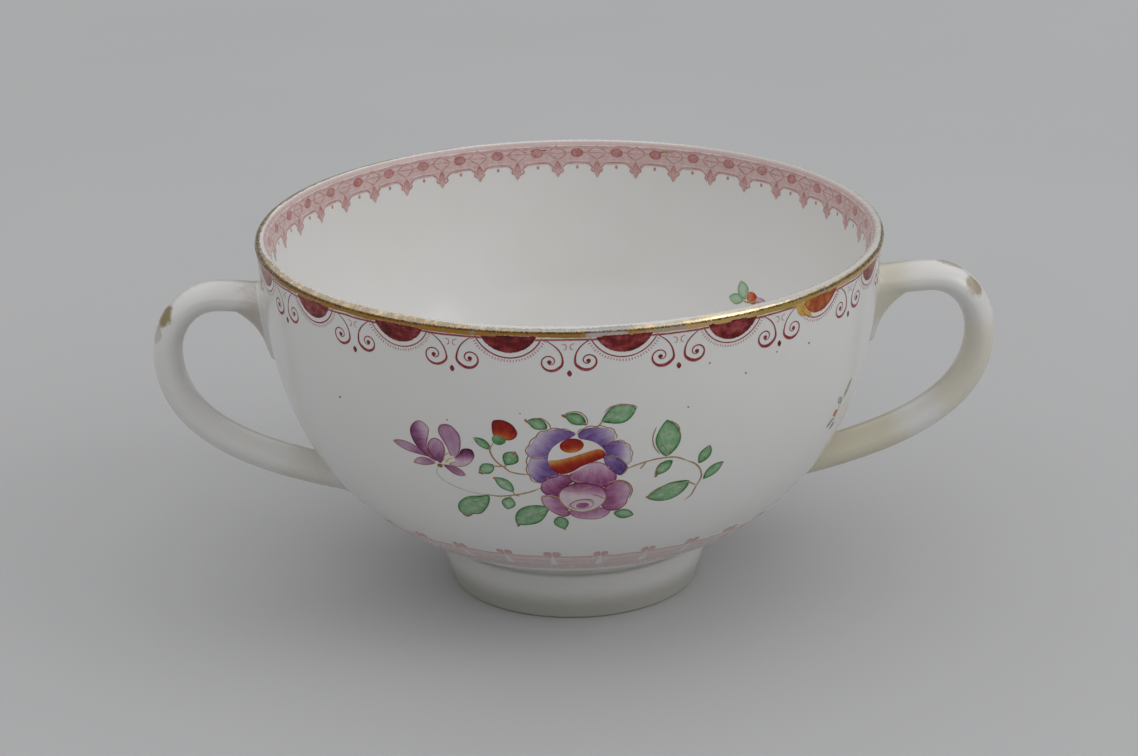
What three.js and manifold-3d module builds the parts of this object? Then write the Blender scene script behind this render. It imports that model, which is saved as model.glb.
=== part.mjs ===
// A small two-handled porcelain cup: a thrown bowl on a turned foot ring, two pulled strap handles
// luted on with slip, and a gilt line over the lip. Millimetres, +Z up, origin at the centre of the
// circle that the foot ring stands on, handles along X.
import * as THREE from "three";
import { mergeVertices } from "three/addons/utils/BufferGeometryUtils.js";
import Module from "manifold-3d";

const wasm = await Module();
wasm.setup();

// Bowl: overall sizes and the sweep of its outer wall
const RIM_RADIUS = 48;
const CUP_HEIGHT = 57.4;
const LIP_THICKNESS = 1.7;
const WALL_THICKNESS_AT_FOOT = 2.6;
const FLOOR_THICKNESS = 2.2;
const FLOOR_BLEND = 3;
const LIP_FLARE_DEGREES = 15;
const LIP_LEAD = 6.1;
const BELLY_START_RADIUS = 20.8;
const BELLY_START_RISE = 0.3;
const BELLY_LEAD = 31.3;
const BELLY_SLOPE_DEGREES = 20.6;

// Foot ring: a flat unglazed contact, a gently spread outer wall and a turned neck under the belly
const FOOT_HEIGHT = 8.3;
const FOOT_CONTACT_RADIUS = 19.5;
const FOOT_CONTACT_WIDTH = 2.2;
const FOOT_TOP_RADIUS = 21;
const FOOT_TOP_WALL = 4.6;
const FOOT_EDGE_ROUND = 0.5;
const FOOT_NECK_DEPTH = 0.7;
const FOOT_NECK_HEIGHT = 1.1;
const FOOT_SWELL = 0.25;

// Handles: how far each strap's centre line stands beyond the rim, and the loop that both share
const STRAP_SPREAD_LEFT = 14.25;
const STRAP_SPREAD_RIGHT = 15.65;
const STRAP_HALF_THICKNESS = 2.2;
const STRAP_HALF_WIDTH = 3.75;
const STRAP_LOWER_SWELL = 0.15;
const STRAP_ROOT_SPREAD = 0.6;
const ROOT_SPREAD_FADE = 4;
const LOOP_WIDEST_HEIGHT = 38.2;
const CROWN_RISE = 9.2;
const CROWN_SETBACK = 7.9;
const UPPER_ROOT_HEIGHT = 46.5;
const UPPER_ROOT_LEAD = 4;
const LOWER_ROOT_HEIGHT = 17.2;
const LOWER_ROOT_LEAD = 15.3;
const LOWER_ROOT_RISE = 3.4;
const LOWER_DROP = 12;
const ROOT_SINK = 4;

// Tails: the pressed ends of the straps, tapering down along the wall from each root
const UPPER_TAIL_END_HEIGHT = 37.2;
const UPPER_TAIL_FILLET = 5;
const UPPER_TAIL_FADE = 3;
const UPPER_TAIL_TIP_LEFT = 1.2;
const UPPER_TAIL_TIP_RIGHT = 1.8;
const LOWER_TAIL_END_HEIGHT = 11.4;
const LOWER_TAIL_FILLET = 1.6;
const LOWER_TAIL_FADE = 2;
const LOWER_TAIL_TIP = 1.2;
const TAIL_TIP_HALF_WIDTH = 1;
const TAIL_TOE_LENGTH = 0.6;
const TAIL_TOE_SHRINK = 0.45;

// Joints: the slip layer between handle and wall, and the wiped bead of slip around it
const SLIP_LAYER = 0.3;
const SLIP_BEAD_WIDTH = 0.9;
const SLIP_BEAD_HEIGHT = 0.6;

// Gilding: a raised line of gold over the lip
const GILT_THICKNESS = 0.15;
const GILT_CLEARANCE = 0.05;
const GILT_DEPTH_OUTSIDE = 1.2;
const GILT_DEPTH_INSIDE = 1;

// Fineness of the faceted solids
const ROUND_SEGMENTS = 64;
const WALL_STEPS = 16;
const LIP_STEPS = 4;
const FLOOR_STEPS = 4;
const FOOT_STEPS = 4;
const STRAP_STEPS = 36;
const TAIL_STEPS = 8;
const SECTION_SIDES = 16;
const GILT_STEPS = 2;
const HEIGHT_SEARCH_STEPS = 40;

const QUARTER_ROUND = 0.5523;
const CUTTER_MARGIN = 20;
const HALF_SPACE_SIZE = 1000;

// The outer wall as one Bezier curve in (radius, height), from the foot's neck to the lip's shoulder
const radians = THREE.MathUtils.degToRad;
const giltStand = GILT_CLEARANCE + GILT_THICKNESS;
const lipRound = LIP_THICKNESS / 2;
const lipFlare = radians(LIP_FLARE_DEGREES);
const lipUp = new THREE.Vector2(Math.sin(lipFlare), Math.cos(lipFlare));
const lipOut = new THREE.Vector2(Math.cos(lipFlare), -Math.sin(lipFlare));
const shoulder = new THREE.Vector2(
  RIM_RADIUS - giltStand - lipRound * (1 - Math.cos(lipFlare)),
  CUP_HEIGHT - giltStand - lipRound * (1 + Math.sin(lipFlare)),
);
const bellyStart = new THREE.Vector2(BELLY_START_RADIUS, FOOT_HEIGHT + BELLY_START_RISE);
const bellySlope = radians(BELLY_SLOPE_DEGREES);
const wallCurve = new THREE.CubicBezierCurve(
  bellyStart,
  new THREE.Vector2(Math.cos(bellySlope), Math.sin(bellySlope)).multiplyScalar(BELLY_LEAD).add(bellyStart),
  shoulder.clone().addScaledVector(lipUp, -LIP_LEAD),
  shoulder,
);

// Evenly spread values from a to b, both ends included
function spread(a, b, steps) {
  return Array.from({ length: steps + 1 }, (_, i) => a + ((b - a) * i) / steps);
}

// A point of the outer wall at t, moved outwards by offset along the wall's normal
function outerWall(t, offset) {
  const along = wallCurve.getTangent(t);
  return wallCurve.getPoint(t).add(new THREE.Vector2(along.y, -along.x).multiplyScalar(offset));
}

// A point of the inner wall at t, moved into the bowl by offset
function innerWall(t, offset) {
  const wall = THREE.MathUtils.lerp(WALL_THICKNESS_AT_FOOT, LIP_THICKNESS, Math.sqrt(t));
  return outerWall(t, -(wall + offset));
}

// The round lip between the outer shoulder and the inner one, grown by offset
function lipArc(offset) {
  const centre = shoulder.clone().addScaledVector(lipOut, -lipRound);
  return spread(0, Math.PI, LIP_STEPS)
    .slice(1, -1)
    .map((angle) =>
      centre
        .clone()
        .addScaledVector(lipOut, (lipRound + offset) * Math.cos(angle))
        .addScaledVector(lipUp, (lipRound + offset) * Math.sin(angle)),
    );
}

// Where the outer wall stands at a height, as the curve's t
function wallAtHeight(height) {
  let low = 0;
  let high = 1;
  for (let i = 0; i < HEIGHT_SEARCH_STEPS; i++) {
    const middle = (low + high) / 2;
    if (wallCurve.getPoint(middle).y < height) low = middle;
    else high = middle;
  }
  return (low + high) / 2;
}

// Solids: geometry to manifold and back
function solidOf(geometry) {
  const bare = geometry.clone();
  bare.deleteAttribute("normal");
  bare.deleteAttribute("uv");
  const merged = mergeVertices(bare, 1e-4);
  return new wasm.Manifold(
    new wasm.Mesh({
      numProp: 3,
      vertProperties: merged.getAttribute("position").array,
      triVerts: new Uint32Array(merged.index.array),
    }),
  );
}

function geometryOf(solid) {
  const mesh = solid.getMesh();
  const geometry = new THREE.BufferGeometry();
  geometry.setAttribute("position", new THREE.BufferAttribute(mesh.vertProperties, 3));
  geometry.setIndex(new THREE.BufferAttribute(mesh.triVerts, 1));
  geometry.computeVertexNormals();
  return geometry;
}

// A turned solid: the profile runs from the axis to the axis, or closes on itself
function turned(profile) {
  const geometry = new THREE.LatheGeometry(profile, ROUND_SEGMENTS);
  return geometry.rotateX(Math.PI / 2);
}

// The solid that the outer wall, grown by offset, encloses: it trims whatever stands on the wall
function wallCutter(offset) {
  const wall = spread(0, 1, WALL_STEPS).map((t) => outerWall(t, offset));
  const low = wall[0].y - CUTTER_MARGIN;
  const high = CUP_HEIGHT + CUTTER_MARGIN;
  return solidOf(
    turned([
      new THREE.Vector2(0, low),
      new THREE.Vector2(wall[0].x, low),
      ...wall,
      new THREE.Vector2(wall.at(-1).x, high),
      new THREE.Vector2(0, high),
    ]),
  );
}

// A closed loft of oval sections along X-Z stations {centre, along, thick, wide}
function ovalLoft(stations) {
  const points = [];
  const faces = [];
  for (const { centre, along, thick, wide } of stations) {
    for (let k = 0; k < SECTION_SIDES; k++) {
      const angle = (2 * Math.PI * k) / SECTION_SIDES;
      const out = thick * Math.cos(angle);
      points.push(centre.x - along.y * out, wide * Math.sin(angle), centre.y + along.x * out);
    }
  }
  for (let i = 0; i + 1 < stations.length; i++) {
    for (let k = 0; k < SECTION_SIDES; k++) {
      const next = (k + 1) % SECTION_SIDES;
      const [a, b] = [i * SECTION_SIDES + k, i * SECTION_SIDES + next];
      const [c, d] = [a + SECTION_SIDES, b + SECTION_SIDES];
      faces.push(a, c, b, b, c, d);
    }
  }
  const first = stations[0].centre;
  const last = stations.at(-1).centre;
  const firstIndex = points.length / 3;
  points.push(first.x, 0, first.y, last.x, 0, last.y);
  const lastRing = (stations.length - 1) * SECTION_SIDES;
  for (let k = 0; k < SECTION_SIDES; k++) {
    const next = (k + 1) % SECTION_SIDES;
    faces.push(firstIndex, k, next, firstIndex + 1, lastRing + next, lastRing + k);
  }
  const geometry = new THREE.BufferGeometry();
  geometry.setAttribute("position", new THREE.Float32BufferAttribute(points, 3));
  geometry.setIndex(faces);
  return geometry;
}

// The strap's centre line in (distance from the axis, height): root, crown, widest place, lower root
function strapPath(strapSpread) {
  const upperWall = outerWall(wallAtHeight(UPPER_ROOT_HEIGHT), 0);
  const lowerWall = outerWall(wallAtHeight(LOWER_ROOT_HEIGHT), 0);
  const start = new THREE.Vector2(upperWall.x - ROOT_SINK, upperWall.y);
  const widest = new THREE.Vector2(RIM_RADIUS + strapSpread, LOOP_WIDEST_HEIGHT);
  const crown = new THREE.Vector2(widest.x - CROWN_SETBACK, widest.y + CROWN_RISE);
  const inwards = new THREE.Vector2(-LOWER_ROOT_LEAD, -LOWER_ROOT_RISE);
  const end = lowerWall.clone().addScaledVector(inwards.clone().normalize(), ROOT_SINK);
  const path = new THREE.CurvePath();
  path.add(
    new THREE.CubicBezierCurve(
      start,
      new THREE.Vector2(start.x + UPPER_ROOT_LEAD, start.y),
      new THREE.Vector2(crown.x - UPPER_ROOT_LEAD, crown.y),
      crown,
    ),
  );
  path.add(
    new THREE.CubicBezierCurve(
      crown,
      new THREE.Vector2(crown.x + CROWN_SETBACK * QUARTER_ROUND, crown.y),
      new THREE.Vector2(widest.x, widest.y + CROWN_RISE * QUARTER_ROUND),
      widest,
    ),
  );
  path.add(
    new THREE.CubicBezierCurve(
      widest,
      new THREE.Vector2(widest.x, widest.y - LOWER_DROP),
      lowerWall.clone().sub(inwards),
      lowerWall,
    ),
  );
  path.add(new THREE.LineCurve(lowerWall, end));
  return path;
}

// The strap as a loft, grown all round by growth
function strapLoft(strapSpread, growth) {
  const path = strapPath(strapSpread);
  const stations = spread(0, 1, STRAP_STEPS).map((u) => {
    const rootNearness = (2 * u - 1) ** ROOT_SPREAD_FADE;
    return {
      centre: path.getPointAt(u),
      along: path.getTangentAt(u),
      thick: STRAP_HALF_THICKNESS + STRAP_LOWER_SWELL * u + growth,
      wide: STRAP_HALF_WIDTH + STRAP_ROOT_SPREAD * rootNearness + growth,
    };
  });
  return solidOf(ovalLoft(stations));
}

// A tail pressed on the wall, from its root's height down to its rounded toe, grown all round by growth
function tailLoft({ rootHeight, endHeight, fillet, fade, tip }, growth) {
  const rootWidth = STRAP_HALF_WIDTH + STRAP_ROOT_SPREAD / 2;
  const station = (height, thick, wide) => {
    const t = wallAtHeight(height);
    const along = wallCurve.getTangent(t).negate();
    return { centre: outerWall(t, 0), along, thick: thick + growth, wide: wide + growth };
  };
  const stations = spread(0, 1, TAIL_STEPS).map((s) =>
    station(
      THREE.MathUtils.lerp(rootHeight, endHeight, s),
      tip + fillet * (1 - s) ** fade,
      THREE.MathUtils.lerp(rootWidth, TAIL_TIP_HALF_WIDTH, s),
    ),
  );
  const toe = 1 - TAIL_TOE_SHRINK;
  stations.push(
    station(
      endHeight - TAIL_TOE_LENGTH - growth,
      tip * toe,
      TAIL_TIP_HALF_WIDTH * toe,
    ),
  );
  return solidOf(ovalLoft(stations));
}

const upperTail = {
  rootHeight: UPPER_ROOT_HEIGHT,
  endHeight: UPPER_TAIL_END_HEIGHT,
  fillet: UPPER_TAIL_FILLET,
  fade: UPPER_TAIL_FADE,
};
const lowerTail = {
  rootHeight: LOWER_ROOT_HEIGHT,
  endHeight: LOWER_TAIL_END_HEIGHT,
  fillet: LOWER_TAIL_FILLET,
  fade: LOWER_TAIL_FADE,
  tip: LOWER_TAIL_TIP,
};

// Strap and both tails as one rough piece, before the wall trims it
function roughHandle({ strapSpread, upperTip }, growth) {
  return strapLoft(strapSpread, growth)
    .add(tailLoft({ ...upperTail, tip: upperTip }, growth))
    .add(tailLoft(lowerTail, growth));
}

// Everything above or below the height halfway between the upper tail's toe and the lower root
function halfSpace(above) {
  const size = HALF_SPACE_SIZE;
  const middle = (UPPER_TAIL_END_HEIGHT + LOWER_ROOT_HEIGHT) / 2;
  const box = new THREE.BoxGeometry(size, size, size);
  return solidOf(box.translate(0, 0, middle + (above ? size : -size) / 2));
}

// The four kinds of pieces
function bowlGeometry() {
  const steps = spread(0, 1, WALL_STEPS);
  const innerFoot = innerWall(0, 0);
  const floorHeight = FOOT_HEIGHT + FLOOR_THICKNESS;
  const floorCurve = new THREE.QuadraticBezierCurve(
    innerFoot,
    new THREE.Vector2(innerFoot.x - FLOOR_BLEND, floorHeight),
    new THREE.Vector2(0, floorHeight),
  );
  const profile = [
    new THREE.Vector2(0, FOOT_HEIGHT),
    new THREE.Vector2(BELLY_START_RADIUS - BELLY_START_RISE, FOOT_HEIGHT),
    ...steps.map((t) => outerWall(t, 0)),
    ...lipArc(0),
    ...steps.toReversed().map((t) => innerWall(t, 0)),
    ...floorCurve.getPoints(FLOOR_STEPS).slice(1),
  ];
  return geometryOf(solidOf(turned(profile)));
}

function footRingGeometry() {
  const neck = FOOT_HEIGHT - FOOT_NECK_HEIGHT;
  const outerWallCurve = new THREE.QuadraticBezierCurve(
    new THREE.Vector2(FOOT_CONTACT_RADIUS, FOOT_EDGE_ROUND),
    new THREE.Vector2((FOOT_CONTACT_RADIUS + FOOT_TOP_RADIUS) / 2 + FOOT_SWELL, neck / 2),
    new THREE.Vector2(FOOT_TOP_RADIUS, neck),
  );
  const innerContact = FOOT_CONTACT_RADIUS - FOOT_CONTACT_WIDTH;
  const innerTop = FOOT_TOP_RADIUS - FOOT_TOP_WALL;
  const profile = [
    new THREE.Vector2(innerContact, 0),
    new THREE.Vector2(FOOT_CONTACT_RADIUS - FOOT_EDGE_ROUND, 0),
    ...outerWallCurve.getPoints(FOOT_STEPS),
    new THREE.Vector2(FOOT_TOP_RADIUS - FOOT_NECK_DEPTH, neck + FOOT_NECK_HEIGHT / 2),
    new THREE.Vector2(FOOT_TOP_RADIUS - FOOT_NECK_DEPTH, FOOT_HEIGHT),
    new THREE.Vector2(innerTop, FOOT_HEIGHT),
    new THREE.Vector2(innerContact - FOOT_EDGE_ROUND, FOOT_EDGE_ROUND),
    new THREE.Vector2(innerContact, 0),
  ];
  return geometryOf(solidOf(turned(profile)));
}

function giltRimGeometry() {
  const lipTop = CUP_HEIGHT - giltStand;
  const outerStart = wallAtHeight(lipTop - GILT_DEPTH_OUTSIDE);
  const innerStart = wallAtHeight(lipTop - GILT_DEPTH_INSIDE - lipRound);
  const skin = (offset) => [
    ...spread(outerStart, 1, GILT_STEPS).map((t) => outerWall(t, offset)),
    ...lipArc(offset),
    ...spread(1, innerStart, GILT_STEPS).map((t) => innerWall(t, offset)),
  ];
  const outside = skin(giltStand);
  const inside = skin(GILT_CLEARANCE);
  return geometryOf(solidOf(turned([...outside, ...inside.toReversed(), outside[0]])));
}

function handleGeometry(shape) {
  return geometryOf(roughHandle(shape, 0).subtract(wallCutter(SLIP_LAYER)));
}

function slipBeadGeometry(shape, above) {
  const shell = wallCutter(SLIP_LAYER + SLIP_BEAD_HEIGHT).subtract(wallCutter(SLIP_LAYER));
  const bead = roughHandle(shape, SLIP_LAYER + SLIP_BEAD_WIDTH)
    .intersect(shell)
    .intersect(halfSpace(above));
  return geometryOf(bead.subtract(roughHandle(shape, SLIP_LAYER)));
}

// Finishes
const porcelain = { color: 0xe9e8e2, roughness: 0.16, metalness: 0 };
const unglazedFoot = { color: 0xdedbd0, roughness: 0.3, metalness: 0 };
const pooledGlaze = { color: 0xe2dcc4, roughness: 0.18, metalness: 0 };
const gold = { color: 0xc09a45, roughness: 0.32, metalness: 1 };

function piece(name, geometry, finish) {
  const mesh = new THREE.Mesh(geometry, new THREE.MeshStandardMaterial(finish));
  mesh.name = name;
  return mesh;
}

const cup = new THREE.Group();
cup.add(piece("bowl", bowlGeometry(), porcelain));
cup.add(piece("foot_ring", footRingGeometry(), unglazedFoot));
cup.add(piece("gilt_rim", giltRimGeometry(), gold));

const sides = [
  { side: "right", strapSpread: STRAP_SPREAD_RIGHT, upperTip: UPPER_TAIL_TIP_RIGHT, turn: 0 },
  { side: "left", strapSpread: STRAP_SPREAD_LEFT, upperTip: UPPER_TAIL_TIP_LEFT, turn: Math.PI },
];
for (const { side, turn, ...shape } of sides) {
  const joint = new THREE.Group();
  joint.rotation.z = turn;
  joint.add(piece(`handle_${side}`, handleGeometry(shape), porcelain));
  joint.add(piece(`slip_bead_${side}_upper`, slipBeadGeometry(shape, true), pooledGlaze));
  joint.add(piece(`slip_bead_${side}_lower`, slipBeadGeometry(shape, false), pooledGlaze));
  cup.add(joint);
}

export default cup;
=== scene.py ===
"""A small two-handled porcelain cup, dressed over its solids: glaze, worn gilding and painted enamels.

Lengths in this file are millimetres unless a name says otherwise. The handles lie along X, the
painted front looks towards -Y, and +Z is up through the middle of the bowl.
"""
import logging
import math
import random
from bisect import bisect_left
from dataclasses import dataclass, replace
from enum import Enum

import bmesh
import bpy
import numpy as np
from bpy.types import Material, Mesh, Node, NodeSocket, NodeTree, Object
from mathutils import Matrix, Vector, noise


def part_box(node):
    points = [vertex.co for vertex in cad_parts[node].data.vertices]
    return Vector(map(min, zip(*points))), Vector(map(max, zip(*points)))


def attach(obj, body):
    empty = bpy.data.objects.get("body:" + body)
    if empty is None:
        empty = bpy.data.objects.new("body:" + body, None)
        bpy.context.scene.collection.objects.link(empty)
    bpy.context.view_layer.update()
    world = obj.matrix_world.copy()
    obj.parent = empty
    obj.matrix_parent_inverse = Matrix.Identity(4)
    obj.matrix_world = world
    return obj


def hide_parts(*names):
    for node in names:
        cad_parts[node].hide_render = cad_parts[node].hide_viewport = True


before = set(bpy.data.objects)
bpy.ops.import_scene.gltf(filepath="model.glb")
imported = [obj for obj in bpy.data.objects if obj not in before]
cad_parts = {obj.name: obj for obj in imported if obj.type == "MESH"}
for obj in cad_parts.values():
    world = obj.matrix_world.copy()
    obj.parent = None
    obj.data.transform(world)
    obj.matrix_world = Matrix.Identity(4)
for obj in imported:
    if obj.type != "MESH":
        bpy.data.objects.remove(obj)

MM = 0.001
BODY = "root"
Point = tuple[float, float]
Outline = tuple[Point, ...]
Spot = tuple[float, float, float]
Colour = tuple[float, float, float, float]
Pole = tuple[Vector, Vector, Vector]

log = logging.getLogger("cup")


def lerp(a: float, b: float, share: float) -> float:
    """Returns the value that lies at share of the way from a to b."""
    return a + (b - a) * share


def ease(low: float, high: float, value: float) -> float:
    """Returns a smooth step from 0 at low to 1 at high."""
    share = min(max((value - low) / (high - low), 0), 1)
    return share * share * (3 - 2 * share)


def spread(a: float, b: float, steps: int) -> list[float]:
    """Returns steps + 1 even values from a to b, both ends included."""
    return [a + (b - a) * i / steps for i in range(steps + 1)]


def arch(start: Vector, crown: Vector, end: Vector, steps: int) -> list[Vector]:
    """Returns a curve from start to end that leaves and arrives in line with crown."""
    return [(1 - s) ** 2 * start + 2 * s * (1 - s) * crown + s * s * end for s in spread(0, 1, steps)]


class Side(Enum):
    """The two faces of the bowl's wall, and the way that x runs on each, seen from outside."""

    OUTER = 1
    INNER = -1


@dataclass
class WallShape:
    """The bowl's wall: the curve that the frame's solids follow, worked out from their corners.

    The outer wall is one Bezier curve in (radius, height) from the foot's neck to the shoulder under
    the round lip; the inner wall follows it at the wall's thickness.
    """

    lip_round: float = 0.85
    lip_flare: float = math.radians(15)
    gilt_stand: float = 0.2
    lip_lead: float = 6.1
    belly_radius: float = 20.8
    belly_rise: float = 0.3
    belly_lead: float = 31.3
    belly_slope: float = math.radians(20.6)
    foot_wall: float = 2.6
    floor_thickness: float = 2.2
    floor_blend: float = 3.0
    samples: int = 600

    def __post_init__(self) -> None:
        """Places the curve's four points and measures its length."""
        gilt_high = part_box("gilt_rim")[1]
        self.foot_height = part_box("bowl")[0][2] / MM
        self.lip_up = Vector((math.sin(self.lip_flare), math.cos(self.lip_flare)))
        self.lip_out = Vector((math.cos(self.lip_flare), -math.sin(self.lip_flare)))
        crest = self.lip_round * self.lip_up.x + (self.lip_round + self.gilt_stand) * self.lip_up.y
        gilt_reach = gilt_high[0] / MM - self.gilt_stand * self.lip_out.x
        self.shoulder = Vector((gilt_reach, gilt_high[2] / MM - crest))
        start = Vector((self.belly_radius, self.foot_height + self.belly_rise))
        rise = Vector((math.cos(self.belly_slope), math.sin(self.belly_slope)))
        lip_lead = self.shoulder - self.lip_lead * self.lip_up
        self.poles = (start, start + self.belly_lead * rise, lip_lead, self.shoulder)
        self.lengths = {side: self._lengths(side) for side in Side}
        self.track = [self.outer(t) for t in spread(0, 1, self.samples)]
        self.track_heights = [point.y for point in self.track]

    def _lengths(self, side: Side) -> list[float]:
        """Returns the running length of one face of the wall, from the foot up."""
        places = [self.face(side, t, 0) for t in spread(0, 1, self.samples)]
        running = [0]
        for here, there in zip(places, places[1:]):
            running.append(running[-1] + (there - here).length)
        return running

    def along(self, t: float) -> Vector:
        """Returns the outer curve's unit tangent at t, pointing up the wall."""
        p0, p1, p2, p3 = self.poles
        rest = 1 - t
        return (rest * rest * (p1 - p0) + 2 * rest * t * (p2 - p1) + t * t * (p3 - p2)).normalized()

    def outer(self, t: float, lift: float = 0.0) -> Vector:
        """Returns (radius, height) on the outer wall at t, lifted off it by lift."""
        p0, p1, p2, p3 = self.poles
        rest = 1 - t
        place = rest**3 * p0 + 3 * rest * rest * t * p1 + 3 * rest * t * t * p2 + t**3 * p3
        tangent = self.along(t)
        return place + lift * Vector((tangent.y, -tangent.x))

    def inner(self, t: float, lift: float = 0.0) -> Vector:
        """Returns (radius, height) on the inner wall at t, lifted off it into the bowl by lift."""
        return self.outer(t, -(lerp(self.foot_wall, 2 * self.lip_round, math.sqrt(t)) + lift))

    def face(self, side: Side, t: float, lift: float) -> Vector:
        """Returns (radius, height) on the named face at t, lifted off it by lift."""
        return self.outer(t, lift) if side is Side.OUTER else self.inner(t, lift)

    def lip(self, lift: float, steps: int) -> list[Vector]:
        """Returns the round lip from the outer shoulder to the inner one.

        Args:
            lift: Distance off the porcelain.
            steps: Number of steps in the half circle.

        Returns:
            The points between the two shoulders, without the shoulders.
        """
        centre = self.shoulder - self.lip_round * self.lip_out
        reach = self.lip_round + lift
        turns = spread(0, math.pi, steps)[1:-1]
        return [centre + reach * (math.cos(a) * self.lip_out + math.sin(a) * self.lip_up) for a in turns]

    def at_height(self, height: float) -> float:
        """Returns the t at which the outer face stands at a height."""
        low, high = 0, 1
        for _ in range(40):
            middle = (low + high) / 2
            if self.outer(middle).y < height:
                low = middle
            else:
                high = middle
        return (low + high) / 2

    def at_drop(self, drop: float, side: Side) -> float:
        """Returns the t that lies a length down the named face from the shoulder."""
        running = self.lengths[side]
        wanted = min(max(running[-1] - drop, 0), running[-1])
        upper = min(max(bisect_left(running, wanted), 1), self.samples)
        step = running[upper] - running[upper - 1]
        return (upper - 1 + (wanted - running[upper - 1]) / step) / self.samples

    def place(self, side: Side, azimuth: float, drop: float, lift: float) -> Vector:
        """Returns a point on the wall in metres.

        Args:
            side: Face of the wall.
            azimuth: Angle in radians from -Y towards +X.
            drop: Length down the wall from the shoulder.
            lift: Distance off the glaze.

        Returns:
            The point in the cup's frame.
        """
        spot = self.face(side, self.at_drop(drop, side), lift)
        return Vector((spot.x * math.sin(azimuth), -spot.x * math.cos(azimuth), spot.y)) * MM

    def gap(self, place: Vector) -> float:
        """Returns how far a point in metres stands off the outer wall, roughly, in millimetres."""
        spot = Vector((place.xy.length, place.z)) / MM
        upper = min(max(bisect_left(self.track_heights, spot.y), 1), self.samples)
        low, high = self.track[upper - 1], self.track[upper]
        tangent = (high - low).normalized()
        return (spot.x - low.x) * tangent.y - (spot.y - low.y) * tangent.x


def select_only(piece: Object) -> None:
    """Selects one object and makes it active."""
    bpy.ops.object.select_all(action="DESELECT")
    piece.select_set(True)
    bpy.context.view_layer.objects.active = piece


def apply_modifier(piece: Object, kind: str, **settings: object) -> None:
    """Adds a modifier with its settings and applies it.

    Args:
        piece: Object to change.
        kind: Blender's name of the modifier type.
        **settings: The modifier's properties.
    """
    select_only(piece)
    modifier = piece.modifiers.new(kind.title(), kind)
    for name, value in settings.items():
        setattr(modifier, name, value)
    bpy.ops.object.modifier_apply(modifier=modifier.name)


def finish_piece(piece: Object, name: str, material: Material, sharp_angle: float = 50.0) -> Object:
    """Names a finished mesh, smooths its shading, dresses it and lets it ride on the cup's body.

    Args:
        piece: Finished object, at the origin.
        name: The piece's name.
        material: Its finish.
        sharp_angle: Edges that turn more than this many degrees stay sharp.

    Returns:
        The same object.
    """
    piece.name = name
    piece.data.name = name
    piece.data.materials.clear()
    piece.data.materials.append(material)
    select_only(piece)
    bpy.ops.object.shade_smooth_by_angle(angle=math.radians(sharp_angle))
    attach(piece, BODY)
    return piece


def merge_doubles() -> None:
    """Merges the doubles of the mesh in edit mode and selects all of it."""
    bpy.ops.mesh.select_all(action="SELECT")
    bpy.ops.mesh.remove_doubles(threshold=0.002 * MM)
    bpy.ops.mesh.select_all(action="SELECT")


def close_shell() -> None:
    """Merges the doubles of the mesh in edit mode, turns its faces outwards and leaves edit mode."""
    merge_doubles()
    bpy.ops.mesh.normals_make_consistent(inside=False)
    bpy.ops.object.mode_set(mode="OBJECT")


def draw_line(places: list[Vector]) -> Object:
    """Draws a line of vertices in edit mode, and stays there.

    Args:
        places: The line's points in metres; a closed line ends where it starts.

    Returns:
        The object, with its whole line selected.
    """
    bpy.ops.object.select_all(action="DESELECT")
    bpy.ops.mesh.primitive_plane_add(size=MM, location=(0, 0, 0))
    bpy.ops.object.mode_set(mode="EDIT")
    bpy.ops.mesh.select_mode(type="VERT")
    bpy.ops.mesh.select_all(action="SELECT")
    bpy.ops.mesh.merge(type="CENTER")
    bpy.ops.transform.translate(value=places[0])
    for here, there in zip(places, places[1:]):
        bpy.ops.mesh.extrude_region_move(TRANSFORM_OT_translate={"value": there - here})
    bpy.ops.mesh.select_all(action="SELECT")
    return bpy.context.object


def spin_profile(profile: list[Vector], steps: int) -> Object:
    """Draws a (radius, height) profile and spins it round the cup's axis.

    Args:
        profile: Points from the axis to the axis, or a ring that ends where it starts.
        steps: Number of steps round the axis.

    Returns:
        A closed mesh object at the origin.
    """
    piece = draw_line([Vector((0, -point.x, point.y)) * MM for point in profile])
    bpy.ops.mesh.spin(steps=steps, angle=2 * math.pi, center=(0, 0, 0), axis=(0, 0, 1))
    close_shell()
    return piece


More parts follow.
